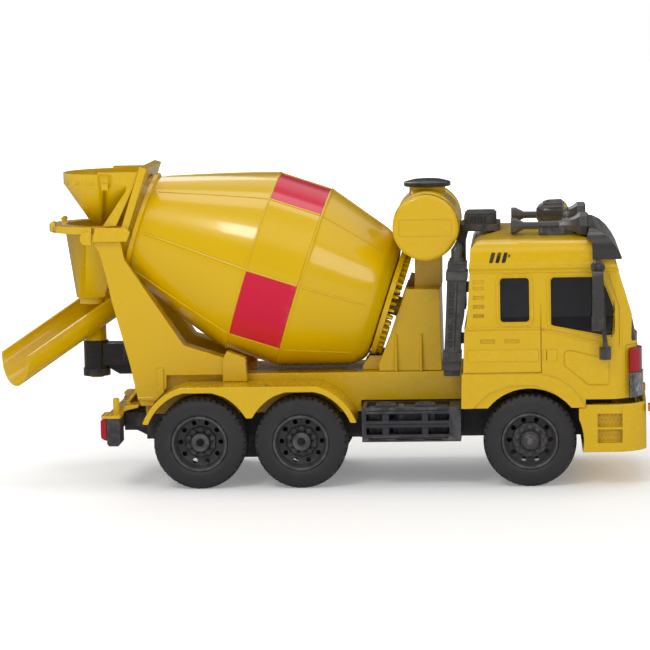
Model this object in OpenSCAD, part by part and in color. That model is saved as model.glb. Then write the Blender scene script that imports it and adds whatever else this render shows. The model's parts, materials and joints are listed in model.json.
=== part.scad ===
// Toy cement mixer truck with a tilted rotating drum, a swinging discharge chute
// and a steered front axle. Millimetres, +X forward, +Y left, +Z up, ground at Z = 0.
// The origin is on the ground, on the centre line, midway along the truck.

/* [Wheels] */
// Outer radius of every tyre
tyre_r = 27.2; // [26.8:0.1:27.4]
// Width of a rear tyre
rear_tyre_w = 24; // [22:0.5:24]
// Width of a front tyre
front_tyre_w = 20; // [18:0.5:20]
// Radius of the axle shafts
axle_r = 2; // [1.8:0.1:2.2]
// Number of shoulder notches round a tyre
notches = 44; // [36:2:48]

/* [Drum] */
// Largest outer radius of the drum
drum_r = 55.6; // [54.8:0.2:55.8]
// Tilt of the drum axis, rear end high (degrees)
drum_tilt = 18.3; // [18.1:0.1:18.5]
// Wall thickness of the drum shells
drum_t = 1.7; // [1.4:0.1:2.0]
// Height of the raised ribs on the drum
rib_h = 0.5; // [0.3:0.1:0.6]

/* [Chute] */
// Swing of the chute at rest, from straight back (degrees)
chute_swing = 40; // [30:1:45]
// Slope of the chute (degrees)
chute_slope = 27; // [25:1:28]
// Length of the chute from its pivot
chute_len = 63.8; // [56:0.2:64]
// Outer width of the chute
chute_w = 31.6; // [30:0.2:32]

/* [Body] */
// Wall thickness of the cab and covers
wall = 1.8; // [1.6:0.1:2.0]
// Outer radius of the water tank
tank_r = 19.2; // [18.4:0.1:19.4]
// Overall width of the cab
cab_w = 118; // [116:1:119]

/* [Fits] */
// Radial clearance of every running fit
fit = 0.06; // [0.04:0.01:0.08]

/* [Hidden] */
$fn = 48;

// Colours
yellow = [0.86, 0.70, 0.02];
black = [0.16, 0.16, 0.17];
grey = [0.27, 0.26, 0.25];
rubber = [0.13, 0.13, 0.14];
rim_grey = [0.3, 0.3, 0.31];
tinted = [0.08, 0.08, 0.1, 0.85];
clear = [0.95, 0.95, 0.97, 0.6];

// Axles and steering
axle_z = 27.2;
axle_a = -72.3;            // rearmost axle station
axle_b = -12.5;            // second rear axle station
front_x = 121.5;           // front axle station
rear_y = 45;               // rear wheel centre from the centre line
front_y = 48;              // front wheel centre from the centre line
rim_r = 16.5;              // inner radius of the tyres
arch_r = 31.2;             // front wheel arch
kingpin_y = 44;            // kingpin distance from the centre line
steer_arm = 10;            // tie rod pin behind the kingpin
pin_in = 13;               // tie rod pin inboard of the kingpin
steer_x = front_x-steer_arm;
pin_y = -kingpin_y+pin_in;

// Body
frame_y = 27;              // half width of the chassis
deck_y = 29;               // half width of the deck
deck_z = 65;               // top of the deck
seat_z = deck_z+0.1;       // underside of the parts standing on it
cab_y = cab_w/2;
fascia_gap = 0.1;          // between the cab shell and the front fascia
tank_x = 62.2;
tank_z = 151.8;
spot_z = 155.4;            // spotlight axis
pipe_at = [80.2,-50];      // exhaust pipe
screw_at = [[-86,-20],[-86,20],[0,-20],[0,20]];

// Drum drive: stations run forward along the drum axis
drum_x = -43.4;            // a point on the axis, at the rear edge of the middle band
drum_z = 129.7;
gear_teeth = 48;
pinion_teeth = 12;
gear_r = 30;               // mean radius of the crown teeth
pinion_s = 97.4;           // pinion station
roller_z = -33.3;          // roller centres, below the drum axis
roller_y = sqrt(pow(36.15,2)-pow(roller_z,2));

// Chute
pivot_x = -140;
rim_z = 108.36;            // height of the chute rim at its pivot
chute_t = 1.3;

// ---------------------------------------------------------------- helpers
// n+1 points on an elliptical or circular arc from angle a0 to a1
function oval(x,y,rx,ry,a0,a1,n) =
  [for(i=[0:n]) let(a=a0+(a1-a0)*i/n) [x+rx*cos(a), y+ry*sin(a)]];
function arc(x,y,r,a0,a1,n) = oval(x,y,r,r,a0,a1,n);
// The points in reverse order, with their signs changed
function flip(points,sx=-1,sy=1) =
  [for(i=[len(points)-1:-1:0]) [sx*points[i][0], sy*points[i][1]]];

module box(x0,x1,y0,y1,z0,z1) translate([x0,y0,z0]) cube([x1-x0,y1-y0,z1-z0]);
// Extruded outlines: [x, z] along Y and [y, z] along X
module prism_y(points,y0,y1)
  translate([0,y1,0]) rotate([90,0,0]) linear_extrude(y1-y0) polygon(points);
module prism_x(points,x0,x1)
  translate([x0,0,0]) rotate([90,0,90]) linear_extrude(x1-x0) polygon(points);
module rod_x(y,z,r,x0,x1,sides=48)
  translate([x0,y,z]) rotate([0,90,0]) cylinder(r=r,h=x1-x0,$fn=sides);
module rod_y(x,z,r,y0,y1,sides=48)
  translate([x,y1,z]) rotate([90,0,0]) cylinder(r=r,h=y1-y0,$fn=sides);
module rod_z(x,y,r,z0,z1,sides=48) translate([x,y,z0]) cylinder(r=r,h=z1-z0,$fn=sides);
module both_sides() {
  children();
  mirror([0,1,0]) children();
}
module rounded(w,h,r) {
  square([w-2*r,h],center=true);
  square([w,h-2*r],center=true);
  for(i=[-1,1],j=[-1,1]) translate([i*(w/2-r),j*(h/2-r)]) circle(r,$fn=24);
}
// Rounded rectangles extruded along an axis
module pad_x(y,z,w,h,r,x0,x1)
  translate([x0,y,z]) rotate([90,0,90]) linear_extrude(x1-x0) rounded(w,h,r);
module pad_y(x,z,w,h,r,y0,y1)
  translate([x,y1,z]) rotate([90,0,0]) linear_extrude(y1-y0) rounded(w,h,r);
module pad_z(x,y,w,d,r,z0,z1) translate([x,y,z0]) linear_extrude(z1-z0) rounded(w,d,r);
// Drum frame: x along the drum axis
module on_drum() translate([drum_x,0,drum_z]) rotate([0,drum_tilt,0]) children();
// Solid of revolution about x, points [radius, station]
module revolve(points,sides=96) rotate([0,90,0]) rotate_extrude($fn=sides) polygon(points);
// Room for the turning drum
module drum_room() on_drum() revolve([[0,-66],[33.6,-66],[58,-2],[58,40],[0,40]]);
module on_tank() translate([tank_x,0,tank_z]) rotate([90,0,0]) children();
module tank_room(half) rod_y(tank_x,tank_z,tank_r+0.3,-half,half,96);

// ---------------------------------------------------------------- chassis
module chassis_frame() color(black) difference() {
  union() {
    box(-107,170,-frame_y,frame_y,26,46.8);
    box(-92,7,-frame_y,frame_y,14.4,27);
    both_sides() {
      // kingpin brackets
      box(front_x-3.2,front_x+3.2,-kingpin_y-3.6,-26,35.4,38.4);
      box(front_x-3.2,front_x+3.2,-kingpin_y-3.6,-24,16,19);
      box(front_x-3.2,front_x+3.2,-frame_y,-24,16,26.5);
      // gussets at the ends of the deep section
      prism_y([[-92,14.4],[-98,26],[-92,26]],-frame_y,-25);
      prism_y([[7,14.4],[12,26],[7,26]],-frame_y,-25);
      box(23.5,26,-29,-26.9,30,44);
      box(80,82,-29,-26.9,30,44);
    }
  }
  box(-105,168,-25,25,28,50);
  box(-90,5,-25,25,16.4,30);
  for(x=[axle_a,axle_b]) rod_y(x,axle_z,axle_r+fit,-40,40);
  both_sides() rod_z(front_x,-kingpin_y,1.5+fit,10,45,32);
  // battery, steering and switch openings, screw holes
  box(20,78,-23,23,20,30);
  box(steer_x-1.9,steer_x+1.9,-8,8,20,30);
  box(-103.7,-94.3,-3.1,3.1,20,30);
  for(p=screw_at) rod_z(p[0],p[1],2.75,14,15.7,32);
}
module battery_cover() color(black) difference() {
  union() {
    box(20.15,77.85,-22.85,22.85,25.2,27.6);
    for(i=[0:5]) box(30+i*7,33+i*7,-14,14,24.8,25.3);
  }
  rod_z(73,0,1.3,24,28,24);
  rod_z(73,0,2.6,24,26.3,24);
}
module battery_cells() color([0.15,0.35,0.25]) for(y=[-15,0,15]) union() {
  rod_x(y,35.4,7.1,23,71.5,40);
  rod_x(y,35.4,2.7,71.4,73,24);
}
module control_board() color([0.05,0.32,0.14]) union() {
  difference() {
    box(86,150,-25.6,25.6,47,48.6);
    for(x=[89,147],y=[-22,22]) rod_z(x,y,1.4,46,50,24);
  }
  // raised blocks on the board
  box(96,108,-8,6,48.5,50.2);
  box(114,121,-18,-8,48.5,55);
  box(128,138,6,14,48.5,51);
  rod_z(128,-12,4,48.5,57,32);
  for(i=[0:3]) box(140,146,-14+i*8,-9+i*8,48.5,54);
}
module drive_gearbox() color([0.85,0.85,0.8]) difference() {
  union() {
    pad_y(-68,33,30,30,3,-13,13);
    // motor: body, front boss and rear collar
    rod_x(0,36,10.1,-53.1,-25,40);
    rod_x(0,36,3,-25.2,-22.8,24);
    rod_x(0,36,6,-58,-52,32);
  }
  rod_y(axle_a,axle_z,axle_r+0.3,-20,20);
  pad_y(-69,32.4,23,24,2,-11,11);
}
module steering_servo() color([0.12,0.12,0.13]) difference() {
  union() {
    pad_z(103,0,24,12,1,30.2,44.5);
    box(87.5,118.5,-6,6,39.5,41.5);
    rod_z(steer_x,0,3.2,28.2,30.3,32);
  }
  rod_z(steer_x,0,2,20,31,32);
  for(x=[89.3,116.7]) rod_z(x,0,1.1,38,43,20);
}
module deck_frame() color(yellow) difference() {
  union() {
    box(-107,82,-deck_y,deck_y,63,deck_z);
    both_sides() {
      box(-107,22,-deck_y,-27.2,41.5,63.1);
      box(21.9,82,-deck_y,-27.2,48.2,63.1);
      for(x=[-100,-30,16,76]) box(x,x+1.5,-27.3,-24,48,63.1);
    }
    box(-107,-105.2,-27.3,27.3,48,63.1);
    box(80.2,82,-27.3,27.3,48.2,63.1);
    for(x=[-52,-44]) box(x,x+1.5,-27.3,27.3,58,63.1);
  }
  on_drum() translate([pinion_s,0,-45]) cylinder(r=9.4,h=30,$fn=48);
}
// Fender over both rear wheels of the right side: a curved skin and a deeper outer lip
module fender_shell() color(yellow) {
  crown = concat(arc(axle_a,axle_z,35.3,159,106,14),arc(axle_b,axle_z,35.3,74,20,14));
  difference() {
    union() {
      prism_y(concat(crown,arc(axle_b,axle_z,33.6,20,73,14),
        arc(axle_a,axle_z,33.6,107,159,14)),-58.1,-29.2);
      prism_y(concat(crown,arc(axle_b,axle_z,32,20,66,12),[[-4,57.7],[-21,57.7]],
        arc(axle_b,axle_z,32,118,151,12),[[-41,42.4],[-43.8,42.4]],
        arc(axle_a,axle_z,32,29,62,12),[[-64,57.7],[-81,57.7]],
        arc(axle_a,axle_z,32,114,159,12)),-60,-58);
    }
    box(-120,-80,-62,-20,20,39.4);
    box(-4,30,-62,-20,20,39.4);
  }
  for(i=[0:11]) box(-79+i*6.4,-78+i*6.4,-56,-38,61.05,61.4);
}
module fender_left() mirror([0,1,0]) fender_shell();
module fender_right() fender_shell();

// ---------------------------------------------------------------- tower, tank
module drum_tower() color(yellow) difference() {
  union() {
    both_sides()
      prism_y([[32.7,seat_z],[32.7,69],[49.6,113.8],[69.4,113.8],[70,seat_z]],-26,-24.2);
    prism_y([[68,seat_z],[67.6,113.8],[69.4,113.8],[70,seat_z]],-24.3,24.3);
    box(50,69.3,-24.3,24.3,112,113.8);
    // bearing plate with a ribbed boss
    on_drum() {
      translate([92.4,-24.3,-38]) cube([2.4,48.6,52.6]);
      rod_x(0,0,11,92.4,99,48);
      for(a=[0:60:300]) rotate([a,0,0]) translate([93,-0.8,8]) cube([4,1.6,14]);
    }
    // foot gussets
    both_sides() for(x=[42.3,57.1])
      prism_x([[-25.4,seat_z],[-25.4,87],[-26.9,87],[-29,66.5],[-29,seat_z]],x,x+1.4);
    // tank post
    difference() {
      prism_y([[54.4,113.7],[54.4,135.6],[70.4,135.6],[70.2,113.7]],-14,14);
      box(56,68.6,-12.4,12.4,112,140);
    }
    // roller brackets
    both_sides() prism_y([[22.6,seat_z],[22.6,67.4],[27,73.6],[34.6,73.6],[36.4,seat_z]],
      -19.4,-9.7);
  }
  // bearing bore, pinion and roller pockets, drum front
  on_drum() {
    rod_x(0,0,6+fit,80,110,64);
    translate([pinion_s,0,-46]) cylinder(r=9.6,h=21.5,$fn=48);
    translate([82,-9.7,-46]) cube([14,19.4,21.5]);
    both_sides() rod_x(-roller_y,roller_z,0.9+fit,80,91,24);
    both_sides() rod_x(-roller_y,roller_z,3.1,83.6,88.4,24);
    revolve([[0,60],[0,92.3],[34.3,92.3],[34.3,83.2],[39,79.4],[45,74],[50,60]]);
  }
  box(20,80,-40,40,40,65.05);
  on_tank() cylinder(r=tank_r+0.1,h=80,center=true,$fn=96);
}
module drum_motor() color([0.75,0.75,0.77]) difference() {
  box(27,52,-10,10,48,62.6);
  on_drum() translate([pinion_s,0,-60]) cylinder(r=1.5+fit,h=30,$fn=32);
  on_drum() translate([pinion_s,0,-44.2]) cylinder(r=6,h=30,$fn=32);
}
module water_tank() color(yellow) {
  half = [[0,-49],[tank_r-1.6,-49],[tank_r,-47.8]];
  difference() {
    union() {
      on_tank() rotate_extrude($fn=96) polygon(concat(half,flip(half,1,-1)));
      rod_z(tank_x,0,10.75,160,172.8,64);
      for(y=[-30,30]) translate([0,y,0]) on_tank()
        cylinder(r=tank_r+0.5,h=3,center=true,$fn=96);
    }
    on_tank() cylinder(r=tank_r-1.7,h=94.4,center=true,$fn=96);
    rod_z(tank_x,0,9.3,158,180,64);
    both_sides() pad_y(tank_x,tank_z,31,10,1,-50,-48.6);
  }
}
module tank_cap() color(black) union() {
  translate([tank_x,0,0]) rotate_extrude($fn=64)
    polygon([[0,173],[13.4,173],[14,173.5],[14,175.4],[13.2,176],[8,177.3],[0,177.9]]);
  translate([tank_x,0,0]) difference() {
    cylinder(r=9.3-fit,h=173.1,$fn=64);
    translate([0,0,-1]) cylinder(r=7.8,h=173,$fn=64);
    translate([0,0,-1]) cylinder(r=12,h=168.5,$fn=64);
  }
}

// ---------------------------------------------------------------- rear superstructure
// Right-hand pillar, [x, z] outlines of the plate and of the hollow inside its rim
pillar_outline = [[-135.4,145.3],[-131.4,138.7],[-127.9,125.6],[-125.1,110.7],[-114.8,71.7],
  [-110.9,52],[-109,47],[-102,47],[-100.1,51.1],[-93.3,58],[-93.3,65.2],[-58.6,65.2],
  [-58.4,75.2],[-82.6,83],[-116.6,134.4],[-118.5,145.3]];
pillar_hollow = [[-133,144],[-129.8,138],[-126.2,125.4],[-123.4,110.9],[-113.1,72],[-110,55],
  [-109.2,66.8],[-60.2,66.8],[-60,74],[-83.6,81.5],[-118.2,133.8],[-120,144]];
module pillar() color(yellow) {
  difference() {
    union() {
      prism_y(pillar_outline,-35,-33.2);
      // rim, kept above the deck
      difference() {
        prism_y([for(p=pillar_outline) p[1]<65.2 ? [p[0],65.2] : p],-33.3,-20);
        prism_y(pillar_hollow,-40,-10);
        on_drum() revolve([[0,-90],[0,60],[58,60],[58,0],[35,-66],[35,-90]]);
      }
      prism_y([[-100,50],[-98.4,51.8],[-95,55.2],[-95,69.7],[-98.8,69.7],[-98.8,56],
        [-102,52.6],[-110.8,52.6],[-110.9,51]],-36,-34.9);
      box(-108,-101.5,-33.3,-29.2,49,62);
    }
    drum_room();
    box(-140,-100,-28.9,28.9,118,150);
  }
  // separate block ahead of the pillar foot
  difference() {
    prism_y([[-59.6,61.3],[-59.4,74.6],[-56.9,79.5],[-45.9,75.4],[-45,61.3]],-37,-29.2);
    on_drum() revolve([[0,-66],[57.2,-2],[57.2,40],[0,40]]);
  }
}
module pillar_right() pillar();
module pillar_left() mirror([0,1,0]) pillar();
module support_arch() color(yellow) difference() {
  union() {
    on_drum() difference() {
      translate([-78,-36,-26]) cube([4.2,72,63]);
      rod_x(0,0,31.4,-90,-60,96);
      translate([-79,-27,-40]) cube([8,54,36]);
    }
    both_sides()
      prism_y([[-133,153.8],[-115,153.8],[-112.2,151],[-114.6,145.5],[-135,145.5]],-38,-31.6);
    on_drum() for(y=[-30,29]) translate([-78.2,y,20]) cube([4.4,1,12]);
  }
  on_drum() rod_x(0,0,31.4,-90,-60,96);
  on_drum() revolve([[0,-73.7],[35,-73.7],[35,-60],[0,-60]]);
  box(-140,-100,-40,40,120,145.4);
}
// D-shaped slab: a disc at x and a rectangle running forward from its centre
module d_slab(x,r,len,z,h,sides) translate([0,0,z]) linear_extrude(h) union() {
  translate([x,0]) circle(r,$fn=sides);
  translate([x,-r]) square([len,2*r]);
}
// Everything ahead of a drum station
module ahead_of(station) on_drum() translate([station,-80,-80]) cube([200,160,160]);
// Rounded top outline down to a narrow spout
hopper_x = -122;
hopper_r = 34.6;
module funnel(inset) {
  drop = inset>0 ? 0.5 : 0;
  hull() {
    d_slab(hopper_x,hopper_r-inset,20,178.4,0.2,40);
    translate([-131,0,153.2-drop]) linear_extrude(0.2) circle(9-inset,$fn=24);
    translate([-112,0,157-drop]) linear_extrude(0.2) square([2,20-2*inset],center=true);
  }
}
module hopper() color(yellow) difference() {
  union() {
    difference() {
      funnel(0);
      funnel(1.8);
      translate([0,0,178.3]) linear_extrude(2) translate([hopper_x,0])
        circle(hopper_r-1.8,$fn=40);
    }
    difference() {
      d_slab(hopper_x,hopper_r,30,178.4,6.6,96);
      d_slab(hopper_x,hopper_r-1.8,30,177,10,96);
    }
    both_sides() {
      prism_y([[-131.5,184.9],[-131,186.3],[-104,186.3],[-104,184.9]],-34.6,-32.8);
      box(-129,-125,-35.3,-33.2,175.8,179.6);
      prism_y([[-128.9,154.4],[-121,154.4],[-106,186],[-112,186],[-114.8,174.8]],-34.6,-33);
    }
  }
  ahead_of(-78.3);
  box(-160,-90,-50,50,150,154.3);
}
module discharge_box() color(yellow) difference() {
  union() {
    difference() {
      hull() {
        d_slab(-129,28,12,153.9,0.2,40);
        translate([pivot_x,0,109.4]) cylinder(r=11,h=0.2,$fn=32);
        translate([-128,-9,112]) cube([8,18,0.2]);
      }
      hull() {
        d_slab(-129,26.4,30,154,0.4,40);
        translate([pivot_x,0,111]) cylinder(r=8.6,h=0.2,$fn=32);
        translate([-128,-7,113.6]) cube([14,14,0.2]);
      }
    }
    // flange
    difference() {
      d_slab(-129.5,36.5,30,149.8,4.3,96);
      d_slab(-129.5,26.6,40,148,7,96);
    }
    rod_z(pivot_x,0,9.3,105.6,112,64);
    both_sides() pad_y(-137,147.4,11,8,3.9,-36.4,-34.6);
    both_sides() rod_y(-160.5,155.2,1.6,-24,-18,24);
  }
  rod_z(pivot_x,0,7.6,100,113,64);
  ahead_of(-78.4);
  both_sides() box(-135.6,-100,-60,-31.5,140,160);
  both_sides() box(-150,-100,-60,-28.9,130,143.5);
}
module chute_bracket() color(black) difference() {
  union() {
    rod_z(pivot_x,0,7.6,61.5,82.6,64);
    rod_z(pivot_x,0,8.2,61.5,66,64);
    box(-136,-118,-6,6,68,81.4);
    prism_y([[-136,68],[-118,68],[-118,62],[-126,62]],-1.5,1.5);
    box(-121,-115,-19.8,19.8,72,82);
  }
  rod_z(pivot_x,0,4+fit,60,90,64);
  drum_room();
}
// Half-round section with straight sides above
module trough(w,x0,x1) translate([x0,0,0]) rotate([90,0,90]) linear_extrude(x1-x0) union() {
  translate([0,-1.4]) intersection() {
    circle(w/2,$fn=96);
    translate([-w,-w-0.01]) square([2*w,w+0.01]);
  }
  translate([-w/2,-1.41]) square([w,40]);
}
// Sloping part, cut plumb at its mouth; +x runs down the slope from the pivot
module sloped_chute() union() {
  intersection() {
    difference() {
      trough(chute_w,-17,chute_len+12);
      trough(chute_w-2*chute_t,-15.6,chute_len+13);
      translate([-30,-40,0]) cube([200,80,60]);
    }
    rotate([0,-chute_slope,0]) translate([-40,-40,-80])
      cube([40+chute_len*cos(chute_slope),80,160]);
  }
  for(s=[-1,1]) translate([-16.5,s*(chute_w/2-0.6)-0.9,-1.3]) cube([chute_len-2,1.8,1.3]);
}
module chute() color(yellow) translate([pivot_x,0,0]) rotate([0,0,180+chute_swing])
  difference() {
    union() {
      translate([0,0,rim_z]) rotate([0,chute_slope,0]) sloped_chute();
      difference() {
        rod_z(0,0,6.4,82.8,99,48);
        translate([0,0,rim_z]) rotate([0,chute_slope,0]) trough(chute_w-2*chute_t,-30,40);
      }
      rod_z(0,0,4,60.4,88,48);
    }
    rod_z(0,0,2.2,49,83,32);
    box(-60,20,-40,40,108.8,140);
  }

// ---------------------------------------------------------------- rear end
module rear_bumper() color(black) difference() {
  union() {
    both_sides() prism_y([[-126.6,27.8],[-125.4,26.5],[-120,26.5],[-118.8,27.8],
      [-118.8,42.9],[-126.6,42.9]],-58,-41);
    box(-125.6,-120.4,-42,42,34,42.9);
    both_sides() {
      box(-120.6,-107.1,-24,-14,31,42);
      prism_y([[-120.5,34],[-107.1,34],[-107.1,27],[-113,30]],-20,-18);
    }
  }
  both_sides() box(-127,-126,-56,-43.4,29.4,42);
  for(y=[-30:12:30]) box(-126,-125.2,y-3,y+3,36,41);
}
module bumper_steps() color(yellow) union() {
  both_sides() {
    pad_z(-124.1,-49.5,11.6,17,2,43,44.6);
    rod_z(-121.9,-48,1.9,44.5,53.2,32);
    rod_z(-121.9,-48,1.5,53.1,53.8,32);
  }
  prism_y([[-126.5,43],[-120.6,43],[-117.4,45.2],[-109.9,46.9],[-109.9,48.6],[-117.4,48.2],
    [-121,44.6],[-126.5,44.6]],-41.1,41.1);
  prism_y([[-119.6,47.4],[-117.4,47.5],[-110.6,56],[-110.6,58.2]],-28,28);
}
module tail_lamps() color([0.75,0,0.03]) both_sides()
  prism_y([[-126.75,29.6],[-129.6,30.8],[-130.3,32],[-130.3,41.4],[-129.4,42.6],
    [-126.75,42.8]],-57.4,-42);
// Open boxes below the deck, each holding two long cylinders
module side_racks() color(black) both_sides() union() {
  difference() {
    box(23.6,81.4,-57,-29.1,27.4,47.7);
    for(z=[31.6,39.6]) box(26.2,74.6,-58,-52,z,z+4.2);
    box(26.2,74.6,-54.6,-31,29.4,48);
    box(76.4,80.4,-55.2,-31,29,46);
    for(x=[28,44,60]) box(x,x+10,-60,-54,28.4,28.9);
    for(z=[29.5,37.6,45.6]) box(27,73.8,-57.5,-56.5,z-0.35,z+0.35);
  }
  for(z=[34.4,42.2]) {
    rod_x(-46,z,5,27.5,39,40);
    rod_x(-46,z,5.6,41.5,73.5,40);
    for(x=[45,63]) rod_x(-46,z,6.2,x,x+3,40);
    rod_x(-46,z,3,26,74.7,24);
  }
  for(x=[34,55]) box(x,x+2,-46.8,-45.2,29.2,46);
  for(x=[31,54]) {
    prism_y([[x,47.6],[x+1,49.3],[x+12,49.3],[x+13,47.6]],-55.5,-47);
    box(x+3,x+10,-52.5,-50,49.2,50.1);
    for(z=[31.5,39.5]) box(x+4.6,x+8.4,-56.6,-52.4,z,z+4.4);
  }
}

// ---------------------------------------------------------------- cab
// Cab outlines at inset i: side [x, z], front [y, z], plan [x, y]
function cab_side(i) = [[82.4+i,40],[83.2+i,68.4],[84.2+i,92],[85.6+i,97],[87.4+i,120],
  [88.2+i,139-i],[90.4+i*0.7,142.4-i],[93.6+i*0.5,144.4-i],[105,147.2-i],[126,148-i],
  [146,147-i],[158,144.2-i],[164.5-i*0.3,140.6-i*0.8],[168.5-i*0.7,136-i*0.4],
  [172.4-i,130.4],[177.4-i,114],[181.6-i,99.5],[184-i,88],[185.6-i,78],[187-i,60],
  [187.4-i,40]];
function cab_front(i) = let(half=concat([[-cab_y+i,30],[-cab_y+i,92],[-cab_y+0.5+i,100],
  [-cab_y+1.6+i,126],[-cab_y+2.2+i,134.5]],arc(-cab_y+13.2,134.5,11-i,180,108,8),
  [[-36,147.2-i],[-18,147.9-i]])) concat(half,[[0,148.1-i]],flip(half));
function cab_plan(i) = let(half=concat([[80+i,-cab_y+i+0.8],[81+i,-cab_y+i],[165,-cab_y+i]],
  arc(165,-cab_y+20,20-i,-84,-18,11),[[186.2-i,-26],[187.2-i,-12]]))
  concat(half,[[187.4-i,0]],flip(half,1,-1));
module cab_solid(i,z0=46.6) intersection() {
  prism_y(cab_side(i),-80,80);
  prism_x(cab_front(i),60,220);
  translate([0,0,z0]) linear_extrude(160) polygon(cab_plan(i));
}
// Layer of the cab between two insets
module cab_skin(outer,inner,outer_z=46.6,inner_z=46.6) difference() {
  cab_solid(outer,outer_z);
  cab_solid(inner,inner_z);
}
// Right-hand side windows, grown by margin m
module windows(m) {
  pad_y(113.6,110,16.6+2*m,25.3+2*m,2+m,-70,0);
  prism_y([[134.6-m,95.6-m*1.1],[136,94.9-m*1.1],[165.6+m*0.6,89-m],[168.6+m,89-m*0.8],
    [170.2+m,91],[170.2+m,105.4],[166.6+m,115.4],[163.6+m,121.4],[162+m*0.6,122.7+m],
    [136,122.7+m],[134.6-m,121.4+m*0.4]],-70,0);
}
module window_zone(m) intersection() {
  windows(m);
  box(0,300,-80,-40,0,200);
}
module windshield_zone(m) {
  half = [[50+m,84.6-m],[51+m,86-m],[49+m,127+m],[47.6+m,128.4+m]];
  prism_x(concat(half,flip(half)),150,200);
}
module fascia_zone(m) intersection()
  prism_y([[176.6-m,40],[176.6-m,81],[178,82.6+m],[200,82.6+m],[200,40]],-54.5-m,54.5+m);
module mirror_pegs(m) {
  rod_y(161.6,128.7,1.2+m,-62,-54,20);
  rod_y(165.4,79,1.2+m,-62,-54,20);
}
// Raised mouldings of the right side, cut to the cab skin by the caller
module belt_mouldings() {
  box(80,174,-70,0,128.2,130.2);
  box(80,174,-70,0,126,127);
  box(82,128,-70,0,93,93.9);
  prism_y([[128.6,92.4],[128.6,93.4],[170,83.2],[170,82.2]],-70,0);
  prism_y([[168,124],[169.6,124.8],[175.4,105.6],[175.4,82],[174,82],[174,105.4]],-70,0);
  box(86,127,-70,0,74.4,81);
  box(129.8,137.6,-70,0,74.4,81);
}
module arch_moulding() prism_y([[81,67],[128,66.8],[138,64],[147,57.5],[153,49],[157,40],
  [152,30],[150,40],[143,50],[134,57],[124,60.4],[110,60],[98,56],[88,46.5],[80,46.5]],-80,-50);
// Thin closed groove on the side, ahead of the door
module side_groove() difference() {
  prism_y([[141.6,79],[143.4,80.6],[146,80.6],[162,76.6],[167,76],[168,74.6],[168,60.6],
    [167,59.8],[155.6,59.8],[141.6,71.4]],-80,-cab_y+0.45);
  prism_y([[142.2,78.8],[143.7,80],[146,80],[162,76],[166.6,75.5],[167.4,74.3],[167.4,61],
    [166.6,60.4],[155.8,60.4],[142.2,71.7]],-80,0);
}
module cab_shell() color(yellow) difference() {
  union() {
    cab_skin(0,wall,inner_z=44);
    both_sides() {
      intersection() {
        difference() {
          windows(2.2);
          windows(1.1);
        }
        cab_skin(-0.5,0.9);
      }
      intersection() {
        belt_mouldings();
        cab_skin(-0.45,0.9);
      }
      intersection() {
        arch_moulding();
        cab_skin(-0.8,0.9);
      }
    }
  }
  box(60,200,-70,70,20,46.9);
  both_sides() {
    // wheel arch and room for the bumper
    rod_y(front_x,axle_z,arch_r,-75,-29.6,96);
    box(154,200,-75,5,20,51.6);
    box(150.5,160,-75,5,20,40);
    window_zone(0.1);
    for(z=[101,106.3,111.6,116.9,120.6]) box(89.6,95.8,-62,-cab_y+1.9,z-1,z+1);
    // door outline grooves and handle recesses
    box(128.3,128.9,-80,-cab_y+0.9,67.6,129.8);
    box(84.2,128.9,-80,-cab_y+0.6,67.3,67.9);
    for(x=[93.4,107.6]) box(x,x+8.4,-80,-cab_y+0.9,85,87.2);
    box(131.4,132,-80,-cab_y+0.6,75,80.4);
    side_groove();
  }
  windshield_zone(0.1);
  translate([-fascia_gap,0,0]) fascia_zone(fascia_gap);
  both_sides() mirror_pegs(0.1);
  pad_x(0,110,70,26,3,70,92);
}
module front_fascia() color(yellow) difference() {
  union() {
    intersection() {
      cab_skin(0,wall,48,44);
      fascia_zone(0);
    }
    // closed back of the grille
    intersection() {
      cab_solid(0.6,44);
      union() {
        box(180.6,182.2,-33.5,33.5,52.5,81);
        both_sides() box(180.6,200,-33.5,-32,52.5,81);
      }
    }
  }
  box(150,200,-70,70,40,51.7);
  both_sides() box(179.4,200,-60,-36.2,51,80.4);
  for(i=[0:3]) pad_x(0,58+i*6,60,3.4,1,182.2,200);
}
module headlamp_lenses() color(clear) both_sides() intersection() {
  union() {
    cab_skin(-3.2,-1.2,48,40);
    difference() {
      cab_skin(-3.2,2,48,40);
      box(170,200,-54,-37.6,49,65);
    }
  }
  box(179.6,200,-60,-36.4,52,66.2);
}
module turn_lamps() color([0.8,0.02,0.05]) both_sides() {
  intersection() {
    cab_skin(-2.6,2,48,40);
    prism_y([[179.6,66.4],[200,66.4],[200,76],[186,80.2],[179.6,80.2]],-60,-36.4);
  }
  pad_x(-44,44.5,10,4,1,190.7,192.6);
}
module bumper_plan(i) {
  half = concat([[150,-cab_y+i],[170,-cab_y+i]],
    oval(170,-cab_y+20,20.4-i,20-i,-84,-18,11),[[190-i,-26]]);
  polygon(concat(half,[[190.6-i,0]],flip(half,1,-1)));
}
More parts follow.
